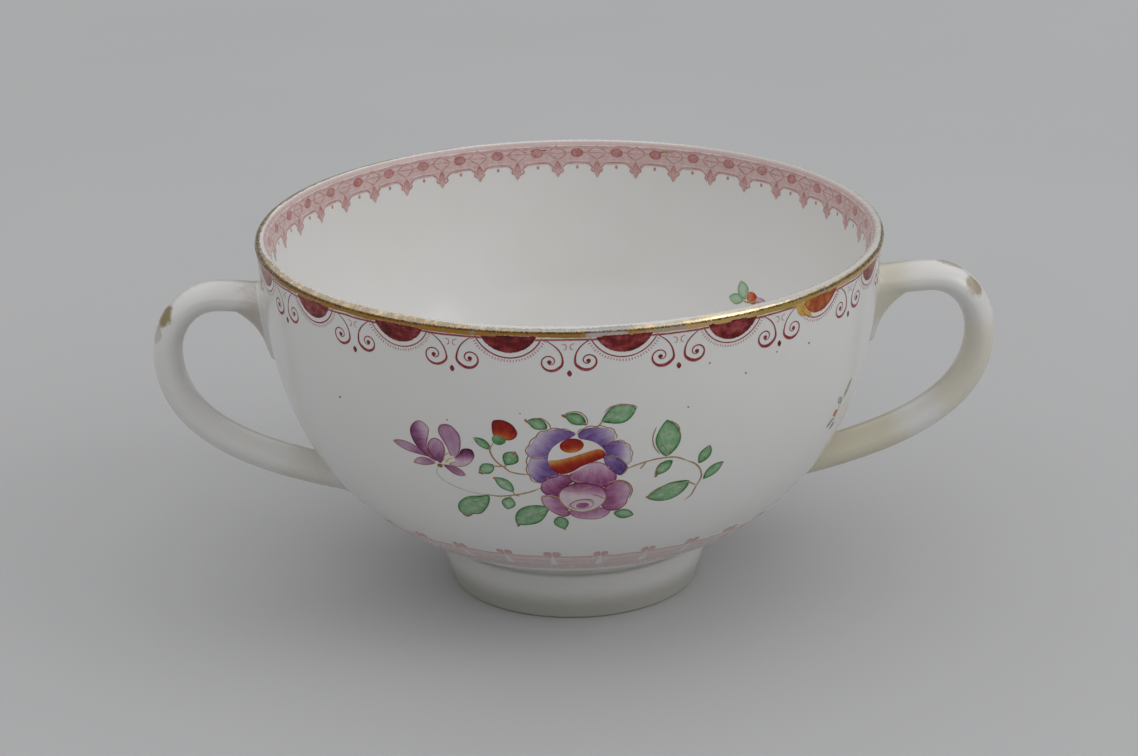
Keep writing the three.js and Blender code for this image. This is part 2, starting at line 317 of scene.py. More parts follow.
class NodeBench:
    """Places nodes in one tree and joins their sockets."""

    def __init__(self, tree: NodeTree) -> None:
        """Keeps the tree that the nodes go into."""
        self.tree = tree

    def fill(self, node: Node, inputs: dict[str | int, object]) -> None:
        """Sets inputs of a node, by name or number, to constants, or links sockets to them."""
        for name, value in inputs.items():
            if isinstance(value, NodeSocket):
                self.tree.links.new(value, node.inputs[name])
            else:
                node.inputs[name].default_value = value

    def add(self, kind: str, inputs: dict[str | int, object] | None = None, **settings: object) -> Node:
        """Adds a node.

        Args:
            kind: The node's type without its prefix, such as TexNoise.
            inputs: Constants or sockets for the node's inputs, by name or number.
            **settings: The node's own properties.

        Returns:
            The node.
        """
        node = self.tree.nodes.new(f"ShaderNode{kind}")
        for name, value in settings.items():
            setattr(node, name, value)
        self.fill(node, inputs or {})
        return node

    def use(self, group: NodeTree, **inputs: object) -> dict[str, NodeSocket]:
        """Places a node group with its own values and returns its outputs by name."""
        return self.add("Group", inputs, node_tree=group).outputs

    def math(self, operation: str, a: object, b: object = 0, c: object = 0) -> NodeSocket:
        """Returns the result of a math node."""
        return self.add("Math", {0: a, 1: b, 2: c}, operation=operation).outputs[0]

    def times(self, a: object, b: object) -> NodeSocket:
        """Returns a times b."""
        return self.math("MULTIPLY", a, b)

    def more(self, value: object, extra: object, share: object = 1) -> NodeSocket:
        """Returns a value with a share of an extra added."""
        return self.math("MULTIPLY_ADD", extra, share, value)

    def away(self, value: object, centre: float) -> NodeSocket:
        """Returns how far a value lies from a centre."""
        return self.math("ABSOLUTE", self.math("SUBTRACT", value, centre))

    def step(
        self, value: object, low: object, high: object, start: float = 0.0, end: float = 1.0
    ) -> NodeSocket:
        """Returns a smooth step of value, from start at low to end at high."""
        inputs = {"Value": value, "From Min": low, "From Max": high, "To Min": start, "To Max": end}
        return self.add("MapRange", inputs, interpolation_type="SMOOTHSTEP").outputs["Result"]

    def blend(self, share: object, a: object, b: object, kind: str = "MIX") -> NodeSocket:
        """Returns colour a with a share of colour b mixed into it."""
        return self.add("Mix", {0: share, 6: a, 7: b}, data_type="RGBA", blend_type=kind).outputs[2]

    def noise(self, place: object, scale: float, detail: float = 2.0, roughness: float = 0.5) -> NodeSocket:
        """Returns smooth noise from 0 to 1 with so many features to the millimetre."""
        inputs = {"Vector": place, "Scale": scale, "Detail": detail, "Roughness": roughness}
        return self.add("TexNoise", inputs).outputs["Fac"]

    def shake(self, place: object, scale: float, detail: float, roughness: float) -> NodeSocket:
        """Returns noise that swings about 0."""
        return self.math("SUBTRACT", self.noise(place, scale, detail, roughness), 0.5)

    def vector(self, operation: str, inputs: dict[str | int, object]) -> Node:
        """Adds a vector math node."""
        return self.add("VectorMath", inputs, operation=operation)

    def place_mm(self) -> NodeSocket:
        """Returns the object's own coordinates in millimetres."""
        own = self.add("TexCoord").outputs["Object"]
        return self.vector("SCALE", {0: own, "Scale": 1 / MM}).outputs["Vector"]

    def sides(self, place: NodeSocket) -> tuple[NodeSocket, ...]:
        """Returns the x, y and z of a place."""
        return tuple(self.add("SeparateXYZ", {0: place}).outputs)


class GroupBench(NodeBench):
    """A bench for a new shader node group with named inputs and outputs."""

    def __init__(self, name: str, inputs: dict[str, str], outputs: dict[str, str]) -> None:
        """Starts the group; inputs and outputs give each socket's kind by its name."""
        super().__init__(bpy.data.node_groups.new(name, "ShaderNodeTree"))
        for sockets, way in ((inputs, "INPUT"), (outputs, "OUTPUT")):
            for socket, kind in sockets.items():
                self.tree.interface.new_socket(name=socket, in_out=way, socket_type=f"NodeSocket{kind}")
        self.given = self.tree.nodes.new("NodeGroupInput").outputs
        self.sink = self.tree.nodes.new("NodeGroupOutput")

    def result(self, **outputs: NodeSocket) -> NodeTree:
        """Feeds the group's outputs and returns the group."""
        self.fill(self.sink, outputs)
        return self.tree


class MaterialBench(NodeBench):
    """A bench for a new material with a Principled shader."""

    def __init__(self, name: str) -> None:
        """Starts the material."""
        self.material = bpy.data.materials.new(name)
        self.material.use_nodes = True
        super().__init__(self.material.node_tree)
        self.shader = next(node for node in self.tree.nodes if node.type == "BSDF_PRINCIPLED")

    def dress(self, relief: NodeSocket, channels: dict[str, object]) -> Material:
        """Feeds the shader.

        Args:
            relief: Height of the surface, which becomes a bump.
            channels: The shader's other inputs by name.

        Returns:
            The material.
        """
        bump = self.add("Bump", {"Height": relief, "Distance": MM, "Strength": 1})
        self.fill(self.shader, {"Normal": bump.outputs["Normal"], **channels})
        return self.material


def specks_group() -> NodeTree:
    """Builds the group for iron specks in the glaze: sparse dark grains of uneven size."""
    inputs = {"place": "Vector", "per_mm": "Float", "size": "Float", "share": "Float"}
    bench = GroupBench("iron_specks", inputs, {"mask": "Float"})
    cells = bench.add("TexVoronoi", {"Vector": bench.given["place"], "Scale": bench.given["per_mm"]}).outputs
    chance = bench.add("SeparateColor", {0: cells["Color"]}).outputs
    here = bench.math("LESS_THAN", chance[0], bench.given["share"])
    near = bench.step(cells["Distance"], bench.times(bench.given["size"], chance[1]), 0)
    return bench.result(mask=bench.times(here, near))


def glaze_group() -> NodeTree:
    """Builds the group for a fired glaze's skin: slow waves, fine orange peel and uneven gloss."""
    inputs = {"place": "Vector", "wave": "Float", "peel": "Float"}
    bench = GroupBench("glaze_skin", inputs, {"height": "Float", "dull": "Float"})
    place = bench.given["place"]
    wave = bench.times(bench.noise(place, 0.11, 1), bench.given["wave"])
    height = bench.more(wave, bench.noise(place, 1.1, 2), bench.given["peel"])
    broad = bench.step(bench.noise(place, 0.07, 4, 0.6), 0.35, 0.7)
    fine = bench.step(bench.noise(place, 2.5, 3, 0.7), 0.45, 0.75)
    return bench.result(height=height, dull=bench.more(bench.times(fine, 0.3), broad, 0.7))


def tint_group(specks: NodeTree) -> NodeTree:
    """Builds the group for the white itself: slow warm drifts, coarse and fine iron specks.

    Args:
        specks: The group for iron specks.

    Returns:
        The group, which also puts out the mask of the coarse specks.
    """
    inputs = {"place": "Vector", "white": "Color", "warm": "Color", "warm_share": "Float"}
    bench = GroupBench("white_glaze_tint", inputs, {"colour": "Color", "specks": "Float"})
    place = bench.given["place"]
    drift = bench.step(bench.noise(place, 0.05, 4, 0.6), 0.4, 0.75)
    drift = bench.times(drift, bench.given["warm_share"])
    colour = bench.blend(drift, bench.given["white"], bench.given["warm"])
    coarse = bench.use(specks, place=place, per_mm=0.2, size=0.05, share=0.22)["mask"]
    fine = bench.use(specks, place=place, per_mm=0.8, size=0.09, share=0.10)["mask"]
    for mask, strength in ((coarse, 0.7), (fine, 0.35)):
        colour = bench.blend(bench.times(mask, strength), colour, (0.16, 0.11, 0.07, 1))
    return bench.result(colour=colour, specks=coarse)


def patch_group() -> NodeTree:
    """Builds the group for a soft-edged patch: 1 near a centre, ragged towards its radius, then 0."""
    inputs = {"place": "Vector", "centre": "Vector", "radius": "Float", "ragged": "Float"}
    bench = GroupBench("ragged_patch", inputs, {"mask": "Float"})
    place = bench.given["place"]
    gap = bench.vector("DISTANCE", {0: place, 1: bench.given["centre"]}).outputs["Value"]
    share = bench.math("DIVIDE", gap, bench.given["radius"])
    ragged = bench.more(share, bench.shake(place, 0.7, 5, 0.7), bench.given["ragged"])
    return bench.result(mask=bench.step(ragged, 1.1, 0.7))


class Groups:
    """The node groups that several finishes share."""

    def __init__(self) -> None:
        """Builds each group once."""
        self.tint = tint_group(specks_group())
        self.glaze = glaze_group()
        self.patch = patch_group()


@dataclass(frozen=True)
class Stain:
    """A place where the glaze is tinted: its centre, its reach, how strong it is and its colour."""

    centre: Spot
    radius: float
    strength: float
    colour: Colour
    ragged: float = 0.9


@dataclass(frozen=True)
class PoolAndShadeBand:
    """A tinted band round a height, for pooled glaze and for painted shade: its height, how far it reaches
    up and down, and how strong it is.
    """

    height: float
    reach: float
    strength: float


@dataclass(frozen=True)
class GlazeFinish:
    """White glaze over porcelain: faint warm drifts, specks, pooled edges and bands of painted shade, waves
    and uneven gloss.
    """

    name: str
    white: Colour = (0.785, 0.78, 0.768, 1)
    warm: Colour = (0.755, 0.74, 0.70, 1)
    # Colour of pooled glaze, and of painted shade where a band paints shade.
    pool_and_shade_colour: Colour = (0.50, 0.47, 0.37, 1)
    bare: Colour = (0.42, 0.37, 0.29, 1)
    warm_share: float = 0.35
    gloss: float = 0.15
    dull: float = 0.24
    wave: float = 0.05
    peel: float = 0.006
    pool_and_shade_bands: tuple[PoolAndShadeBand, ...] = ()
    stains: tuple[Stain, ...] = ()
    bare_below: float = 0.0

    def tint(self, bench: NodeBench, groups: Groups, place: NodeSocket) -> dict[str, NodeSocket]:
        """Returns the outputs of the glaze's tint: the colour and the mask of its specks."""
        colours = {"white": self.white, "warm": self.warm, "warm_share": self.warm_share}
        return bench.use(groups.tint, place=place, **colours)

    def skin(self, bench: NodeBench, groups: Groups, place: NodeSocket) -> dict[str, NodeSocket]:
        """Returns the outputs of the glaze's skin: its height and how dull it is."""
        return bench.use(groups.glaze, place=place, wave=self.wave, peel=self.peel)

    def material(self, groups: Groups) -> Material:
        """Builds the glaze's node material.

        Args:
            groups: The shared node groups.

        Returns:
            The material.
        """
        bench = MaterialBench(self.name)
        place = bench.place_mm()
        height = bench.sides(place)[2]
        tint = self.tint(bench, groups, place)
        colour = tint["colour"]
        # Each band tints the colour, where the glaze has pooled and where a band paints shade.
        for pool_and_shade_band in self.pool_and_shade_bands:
            gap = bench.away(height, pool_and_shade_band.height)
            gap = bench.more(gap, bench.noise(place, 0.5, 3), min(pool_and_shade_band.reach, 0.8))
            share = bench.step(gap, 1.6 * pool_and_shade_band.reach, 0.6 * pool_and_shade_band.reach, 0, pool_and_shade_band.strength)
            colour = bench.blend(share, colour, self.pool_and_shade_colour)
        for stain in self.stains:
            shape = {"centre": stain.centre, "radius": stain.radius, "ragged": stain.ragged}
            mask = bench.use(groups.patch, place=place, **shape)["mask"]
            colour = bench.blend(bench.times(mask, stain.strength), colour, stain.colour)
        skin = self.skin(bench, groups, place)
        dull = bench.step(skin["dull"], 0, 1, self.gloss, self.dull)
        if self.bare_below:
            ragged = bench.more(height, bench.noise(place, 0.8, 4), 0.5)
            bare = bench.step(ragged, self.bare_below + 0.5, self.bare_below + 0.1)
            colour = bench.blend(bench.times(bare, 0.8), colour, self.bare)
            dull = bench.math("MAXIMUM", dull, bench.times(bare, 0.75))
        relief = bench.more(skin["height"], tint["specks"], -0.03)
        return bench.dress(relief, {"Base Color": colour, "Roughness": dull})


@dataclass(frozen=True)
class GoldFinish:
    """Thin fired gold, rubbed off the crest, with painted light: a painted highlight where it turns up,
    a speckled band of painted dark reflection beside that, and painted reflection lower down that is
    darker at the left and lighter at the right.

    Places across the lip are angles round its section: 0 looks outwards and 90 straight up.
    """

    name: str = "worn_gold_with_painted_light"
    # The first two colours paint the highlight where the gold turns up towards the crest.
    painted_highlight: Colour = (0.98, 0.81, 0.52, 1)
    pale: Colour = (0.50, 0.40, 0.28, 1)
    # The next two colours paint the reflection below the highlight: darker at the left, lighter at the
    # right.
    deep: Colour = (0.46, 0.23, 0.05, 1)
    light: Colour = (0.74, 0.50, 0.19, 1)
    silvery: Colour = (0.46, 0.45, 0.43, 1)
    yellow: Colour = (0.52, 0.38, 0.07, 1)
    # Painted dark reflection: the speckled band where the curved gold mirrors the dark room.
    painted_dark_reflection: Colour = (0.085, 0.045, 0.018, 1)
    glaze: Colour = (0.75, 0.74, 0.715, 1)
    rubbed: Colour = (0.61, 0.585, 0.54, 1)
    rose: Colour = (0.63, 0.475, 0.46, 1)
    silvery_place: Spot = (3.2, -47.8, 57.0)
    silvery_reach: float = 3.3
    yellow_place: Spot = (30.5, -36.5, 56.0)
    yellow_reach: float = 9.0
    # The painted highlight is brightest round this x.
    painted_highlight_x: float = 15.0
    thin_x: float = -2.0
    # Section angle of the band of painted dark reflection.
    painted_dark_reflection_angle: float = 14.0
    worn_angle: float = 56.0
    rose_angle: float = 116.0

    def section_angle(self, bench: NodeBench, place: NodeSocket, wall: WallShape) -> NodeSocket:
        """Returns the angle of a place round the lip's section, in degrees."""
        flat = bench.vector("MULTIPLY", {0: place, 1: (1, 1, 0)}).outputs["Vector"]
        radius = bench.vector("LENGTH", {0: flat}).outputs["Value"]
        centre = wall.shoulder - wall.lip_round * wall.lip_out
        up = bench.math("SUBTRACT", bench.sides(place)[2], centre.y)
        out = bench.math("SUBTRACT", radius, centre.x)
        return bench.math("DEGREES", bench.math("ARCTAN2", up, out))

    def material(self, wall: WallShape, groups: Groups) -> Material:
        """Builds the gold's node material.

        Args:
            wall: The cup's wall, whose lip places the rubbed crest.
            groups: The shared node groups.

        Returns:
            The material.
        """
        bench = MaterialBench(self.name)
        place = bench.place_mm()
        x, y, _ = bench.sides(place)
        angle = self.section_angle(bench, place, wall)
        # Upper zone: painted highlight, pale to bright gold in sparkling noise, brightest round a set x.
        tone = bench.step(bench.noise(place, 0.9, 5, 0.7), 0.42, 0.74)
        tone = bench.more(tone, bench.step(bench.away(x, self.painted_highlight_x), 11, 4, 0, 0.7))
        upper = bench.blend(tone, self.pale, self.painted_highlight)
        thin = bench.step(bench.away(x, self.thin_x), 14, 5, 0, 0.65)
        upper = bench.blend(thin, upper, self.silvery)
        # Lower zone: painted reflection, darker at the left and lighter at the right.
        lower = bench.blend(bench.step(x, 2, 14), self.deep, self.light)
        patch = {"centre": self.yellow_place, "radius": self.yellow_reach, "ragged": 0.8}
        yellowed = bench.use(groups.patch, place=place, **patch)["mask"]
        lower = bench.blend(bench.times(yellowed, 0.8), lower, self.yellow)
        # The painted highlight covers the part of the section that turns up; the painted reflection lies
        # below it.
        waver = bench.more(angle, bench.noise(place, 1.4, 4, 0.7), 20)
        colour = bench.blend(bench.step(waver, 22, 36), lower, upper)
        patch = {"centre": self.silvery_place, "radius": self.silvery_reach, "ragged": 1.6}
        silvered = bench.use(groups.patch, place=place, **patch)["mask"]
        rub = bench.step(bench.noise(place, 0.16, 3, 0.6), 0.58, 0.68, 0, 0.6)
        greyed = bench.times(silvered, bench.step(angle, 8, 30, 0.5, 0.95))
        colour = bench.blend(bench.math("MAXIMUM", rub, greyed), colour, self.silvery)
        # A speckled band of painted dark reflection round one section angle; where it lies the gold is also
        # less metallic and rougher.
        band = bench.step(bench.away(angle, self.painted_dark_reflection_angle), 20, 5, -0.07, 0.15)
        painted_dark_reflection = bench.step(bench.more(bench.noise(place, 3, 4, 0.75), band), 0.60, 0.68)
        colour = bench.blend(painted_dark_reflection, colour, self.painted_dark_reflection)
        drift = bench.step(bench.noise(place, 0.1, 3, 0.6), 0.35, 0.65, -9, 9)
        worn_to = bench.more(self.worn_angle, drift)
        for way, start, end, shift in ((x, 14, 34, -14), (x, -8, -28, 32), (y, -22, 10, 14)):
            worn_to = bench.more(worn_to, bench.step(way, start, end, 0, shift))
        shake = bench.shake(place, 1.7, 5, 0.75)
        worn = bench.math("SUBTRACT", bench.more(angle, shake, 60), worn_to)
        chips = bench.step(bench.noise(place, 1.3, 4, 0.7), 0.66, 0.70)
        low = bench.times(silvered, bench.step(angle, 16, 4, 0, 0.45))
        worn = bench.math("MAXIMUM", bench.math("MAXIMUM", bench.step(worn, -4, 4), chips), low)
        inside = bench.step(bench.more(angle, shake, 14), self.rose_angle, self.rose_angle + 12)
        bare = bench.blend(bench.step(x, 12, 30), self.glaze, self.rubbed)
        colour = bench.blend(worn, colour, bench.blend(inside, bare, self.rose))
        metal = bench.math("SUBTRACT", 1, bench.math("MAXIMUM", worn, bench.times(painted_dark_reflection, 0.8)))
        rough = bench.step(bench.noise(place, 1.1, 4, 0.6), 0.3, 0.7, 0.16, 0.34)
        rough = bench.more(rough, painted_dark_reflection, 0.25)
        relief = bench.times(bench.noise(place, 2, 4, 0.65), 0.04)
        return bench.dress(relief, {"Base Color": colour, "Metallic": metal, "Roughness": rough})


@dataclass
class Bowl:
    """The thrown bowl: outer wall, round lip, inner wall and dished floor, spun as one shell."""

    wall: WallShape
    spin_steps: int = 192
    wall_steps: int = 90
    lip_steps: int = 14
    floor_steps: int = 18

    def profile(self) -> list[Vector]:
        """Returns the (radius, height) profile from the axis under the floor to the axis over it."""
        wall = self.wall
        inner_foot = wall.inner(0)
        floor = wall.foot_height + wall.floor_thickness
        bend = Vector((inner_foot.x - wall.floor_blend, floor))
        dish = arch(inner_foot, bend, Vector((0, floor)), self.floor_steps)
        heights = spread(0, 1, self.wall_steps)
        under = spread(0, wall.belly_radius - wall.belly_rise, self.floor_steps)
        return [
            *[Vector((radius, wall.foot_height)) for radius in under],
            *[wall.outer(t) for t in heights],
            *wall.lip(0, self.lip_steps),
            *[wall.inner(t) for t in reversed(heights)],
            *dish[1:],
        ]

    def build(self, material: Material) -> Object:
        """Builds the bowl over its solid."""
        piece = finish_piece(spin_profile(self.profile(), self.spin_steps), "cup_bowl", material)
        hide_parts("bowl")
        return piece


@dataclass
class FootRing:
    """The turned foot ring: a bare rounded contact, a gently swelling side and a neck under the bowl."""

    wall: WallShape
    contact_radius: float = 19.5
    contact_width: float = 2.2
    top_wall: float = 4.6
    neck_depth: float = 0.7
    neck_height: float = 1.1
    swell: float = 0.25
    edge_round: float = 0.5
    spin_steps: int = 160
    side_steps: int = 18
    round_steps: int = 5

    def turned_edge(self, radius: float, hand: int) -> list[Vector]:
        """Returns the rounded edge of the contact from the table up, outwards for 1 and inwards for -1."""
        edge = self.edge_round
        turns = spread(0, math.pi / 2, self.round_steps)
        return [Vector((radius + hand * edge * math.sin(a), edge - edge * math.cos(a))) for a in turns]

    def profile(self) -> list[Vector]:
        """Returns the closed (radius, height) profile of the ring."""
        top_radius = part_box("foot_ring")[1][0] / MM
        top = self.wall.foot_height
        neck = top - self.neck_height
        edge = self.edge_round
        start = Vector((self.contact_radius, edge))
        middle = Vector(((self.contact_radius + top_radius) / 2 + self.swell, neck / 2))
        end = Vector((top_radius, neck))
        inner = self.contact_radius - self.contact_width
        hollow = Vector((top_radius - self.neck_depth, neck + self.neck_height / 2))
        outer_turn = self.turned_edge(self.contact_radius - edge, 1)
        inside_top = top_radius - self.top_wall
        return [
            *outer_turn,
            *arch(start, middle, end, self.side_steps)[1:],
            *arch(end, Vector((top_radius, hollow.y)), hollow, self.round_steps)[1:],
            Vector((hollow.x, top)),
            *[
                Vector((lerp(inside_top, inner - edge, s), lerp(top, edge, s)))
                for s in spread(0, 1, self.side_steps)
            ],
            *self.turned_edge(inner, -1)[-2::-1],
            outer_turn[0],
        ]

    def build(self, material: Material) -> Object:
        """Builds the foot ring over its solid."""
        piece = finish_piece(spin_profile(self.profile(), self.spin_steps), "turned_foot", material)
        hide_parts("foot_ring")
        return piece


@dataclass
class GiltLine:
    """The gold over the lip: a thin fired skin with a hand-banded, slightly wandering lower edge."""

    wall: WallShape
    thickness: float = 0.03
    seat: float = 0.02
    depth_outside: float = 1.32
    depth_inside: float = 1.85
    wander: float = 0.16
    waves_round: float = 9.0
    spin_steps: int = 360
    band_steps: int = 6
    lip_steps: int = 14

    def skin(self, lift: float) -> list[Vector]:
        """Returns the gold's profile over the lip, lifted off the porcelain by lift."""
        wall = self.wall
        top = wall.shoulder.y + wall.lip_round * (wall.lip_up.x + wall.lip_up.y)
        outside = wall.at_height(top - self.depth_outside)
        inside = wall.at_height(top - self.depth_inside)
        return [
            *[wall.outer(t, lift) for t in spread(outside, 1, self.band_steps)],
            *wall.lip(lift, self.lip_steps),
            *[wall.inner(t, lift) for t in spread(1, inside, self.band_steps)],
        ]

    def let_edges_wander(self, piece: Object) -> None:
        """Moves the rows next to both edges up and down, as a banding brush leaves them."""
        heights = [vertex.co.z for vertex in piece.data.vertices]
        low, high = min(heights), max(heights)
        for vertex in piece.data.vertices:
            place = vertex.co
            share = 1 - (place.z - low) / (high - low)
            around = place.xy.normalized() * self.waves_round
            shake = noise.fractal(Vector((around.x, around.y, place.xy.length / MM)), 0.5, 2, 4)
            place.z += shake * self.wander * MM * share**2

    def build(self, material: Material) -> Object:
        """Builds the gilding over its solid."""
        outside = self.skin(self.thickness)
        profile = [*outside, *reversed(self.skin(-self.seat)), outside[0]]
        piece = spin_profile(profile, self.spin_steps)
        self.let_edges_wander(piece)
        finish_piece(piece, "gilt_line", material)
        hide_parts("gilt_rim")
        return piece


@dataclass(frozen=True)
class Station:
    """One section of a straight clay bar: its place along the bar and its two half sizes."""

    along: float
    thick: float
    wide: float


@dataclass(frozen=True)
class TailShape:
    """A tail pressed on the wall: from its root down to its toe, thick at the root and thin at the tip."""

    root_height: float
    end_height: float
    fillet: float
    fade: float
    tip: float


class WallCutters:
    """Solids bounded by the outer wall, which trim the handles' clay to it."""

    TOP = 90
    BOTTOM = -20
    BETWEEN_ROOTS = 27.2
    SLIP_SEAT = 0.05
    SLIP_LAYER = 0.3
    SLIP_REACH = 0.9

    def __init__(self, wall: WallShape) -> None:
        """Spins the cutters."""
        self.wall_shape = wall
        self.wall = self.spun(self.SLIP_SEAT, 0, self.TOP)
        self.slip_layer = self.spun(self.SLIP_LAYER, 0, self.TOP)
        self.near_root = {
            "upper": self.spun(self.SLIP_REACH, self.BETWEEN_ROOTS, self.TOP),
            "lower": self.spun(self.SLIP_REACH, self.BOTTOM, self.BETWEEN_ROOTS),
        }

    def spun(self, lift: float, low: float, high: float) -> Object:
        """Returns what the outer wall encloses between two heights, grown by lift."""
        wall = self.wall_shape
        side = [wall.outer(t, lift) for t in spread(wall.at_height(low), wall.at_height(high), 60)]
        bottom = [Vector((0, low)), Vector((side[0].x, low))]
        return spin_profile([*bottom, *side, Vector((side[-1].x, high)), Vector((0, high))], 180)

    @staticmethod
    def trim(piece: Object, cutter: Object, operation: str) -> None:
        """Cuts a piece with a cutter."""
        apply_modifier(piece, "BOOLEAN", object=cutter, operation=operation, solver="EXACT")

    def clear(self) -> None:
        """Removes the cutters."""
        for cutter in (self.wall, self.slip_layer, *self.near_root.values()):
            bpy.data.objects.remove(cutter)


@dataclass
class Handle:
    """A strap handle luted to the bowl: the loop, its two pressed tails and the wiped slip.

    The strap and tails start as straight bars of clay, are bent along their paths, melted into one
    by a fine remesh, softened where they meet the wall and trimmed to it.
    """

    wall: WallShape
    side: str
    turn: float
    upper_tip: float
    half_thickness: float = 2.2
    half_width: float = 3.75
    lower_swell: float = 0.15
    widest_share: float = 0.42
    root_spread: float = 0.6
    spread_fade: float = 4.0
    widest_height: float = 38.2
    crown_rise: float = 9.2
    crown_setback: float = 7.9
    upper_root_height: float = 46.5
    upper_root_lead: float = 4.0
    lower_root_height: float = 17.2
    lower_root_lead: Point = (15.3, 3.4)
    lower_drop: float = 12.0
    root_sink: float = 4.0
    quarter_round: float = 0.5523
    toe_half_width: float = 1.0
    section_sides: int = 40
    strap_steps: int = 60
    tail_steps: int = 24
    patch_low: float = 0.02
    patch_depth: float = 1.2
    patch_half_angle: float = math.radians(24)
    patch_steps: int = 40
    patch_rows: int = 60
    voxel: float = 0.32
    shrink_allowance: float = 0.03
    soft_near: float = 1.6
    soft_far: float = 3.4
    soft_group: str = "near_wall"
    soft_passes: int = 45
    smooth_passes: int = 6
    slip_skin: float = 0.03
    seat_gap: float = 0.07
    seat_depth: float = 0.12

    def reach(self) -> float:
        """Returns how far the strap's centre line lies from the axis at its widest."""
        low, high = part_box(f"handle_{self.side}")
        half = self.half_thickness + self.lower_swell * self.widest_share
        return max(abs(low[0]), abs(high[0])) / MM - half

    def strap_poles(self) -> list[Pole]:
        """Returns the strap path's points in (distance from the axis, height), each with its two handles."""
        upper = self.wall.outer(self.wall.at_height(self.upper_root_height))
        lower = self.wall.outer(self.wall.at_height(self.lower_root_height))
        start = Vector((upper.x - self.root_sink, upper.y))
        widest = Vector((self.reach(), self.widest_height))
        crown = Vector((widest.x - self.crown_setback, widest.y + self.crown_rise))
        lead = Vector((self.upper_root_lead, 0))
        over = Vector((self.crown_setback * self.quarter_round, 0))
        down = Vector((0, self.crown_rise * self.quarter_round))
        lower_lead = Vector(self.lower_root_lead)
        sunk = lower - self.root_sink * lower_lead.normalized()
        third = (sunk - lower) / 3
        return [
            (start - lead, start, start + lead),
            (crown - lead, crown, crown + over),
            (widest + down, widest, widest - Vector((0, self.lower_drop))),
            (lower + lower_lead, lower, lower + third),
            (sunk - third, sunk, sunk + third),
        ]

    def wall_poles(self) -> list[Pole]:
        """Returns the outer wall's curve from the shoulder down, as two points with their handles."""
        foot, foot_lead, lip_lead, shoulder = self.wall.poles
        return [(2 * shoulder - lip_lead, shoulder, lip_lead), (foot_lead, foot, 2 * foot - foot_lead)]

    @staticmethod
    def path_object(poles: list[Pole]) -> tuple[Object, float]:
        """Draws a path in the XZ plane.

        Args:
            poles: Points with their left and right handles, in (distance from the axis, height).

        Returns:
            The curve object, and its length in millimetres.
        """
        bpy.ops.object.select_all(action="DESELECT")
        bpy.ops.curve.primitive_bezier_curve_add(location=(0, 0, 0))
        path = bpy.context.object
        path.data.resolution_u = 64
        spline = path.data.splines[0]
        spline.bezier_points.add(len(poles) - 2)
        for point, (left, middle, right) in zip(spline.bezier_points, poles):
            point.handle_left_type = point.handle_right_type = "FREE"
            for name, place in (("co", middle), ("handle_left", left), ("handle_right", right)):
                setattr(point, name, Vector((place.x, 0, place.y)) * MM)
        return path, spline.calc_length(resolution=256) / MM

    def clay_bar(self, stations: list[Station], path: Object) -> Object:
        """Extrudes a straight bar through its stations and bends it along a path.

        Args:
            stations: The bar's sections, from its start.
            path: Curve that the bar is bent along; it is removed afterwards.

        Returns:
            The bent bar.
        """
        bpy.ops.object.select_all(action="DESELECT")
        bpy.ops.mesh.primitive_circle_add(
            vertices=self.section_sides, radius=MM, fill_type="NGON", rotation=(0, math.pi / 2, 0)
        )
        bar = bpy.context.object
        bpy.ops.object.transform_apply(location=False, rotation=True, scale=False)
        bpy.ops.object.mode_set(mode="EDIT")
        bpy.ops.mesh.select_all(action="SELECT")
        first = stations[0]
        bpy.ops.transform.resize(value=(1, first.wide, first.thick), center_override=(0, 0, 0))
        bpy.ops.transform.translate(value=(first.along * MM, 0, 0))
        for here, there in zip(stations, stations[1:]):
            step = ((there.along - here.along) * MM, 0, 0)
            bpy.ops.mesh.extrude_region_move(TRANSFORM_OT_translate={"value": step})
            ratio = (1, there.wide / here.wide, there.thick / here.thick)
            bpy.ops.transform.resize(value=ratio, center_override=(there.along * MM, 0, 0))
        close_shell()
        apply_modifier(bar, "CURVE", object=path, deform_axis="POS_X")
        bpy.data.objects.remove(path)
        return bar

    def strap(self) -> Object:
        """Returns the bent strap."""
        path, length = self.path_object(self.strap_poles())
        stations = []
        for u in spread(0, 1, self.strap_steps):
            near_root = abs(2 * u - 1) ** self.spread_fade
            thick = self.half_thickness + self.lower_swell * u + self.shrink_allowance
            wide = self.half_width + self.root_spread * near_root + self.shrink_allowance
            stations.append(Station(length * u, thick, wide))
        return self.clay_bar(stations, path)

    def tail(self, shape: TailShape) -> Object:
        """Returns one tail, bent along the wall."""
        path, _ = self.path_object(self.wall_poles())
        running = self.wall.lengths[Side.OUTER]
        root_half_width = self.half_width + self.root_spread / 2
        stations = []
        for s in spread(0, 1, self.tail_steps):
            t = self.wall.at_height(lerp(shape.root_height, shape.end_height, s))
            along = running[-1] - running[round(t * self.wall.samples)]
            thick = shape.tip + shape.fillet * (1 - s) ** shape.fade + self.shrink_allowance
            stations.append(Station(along, thick, lerp(root_half_width, self.toe_half_width, s)))
        toe = stations[-1]
        for step, share in ((0.35, 0.85), (0.6, 0.5)):
            stations.append(Station(toe.along + step, toe.thick * share, toe.wide * share))
        return self.clay_bar(stations, path)

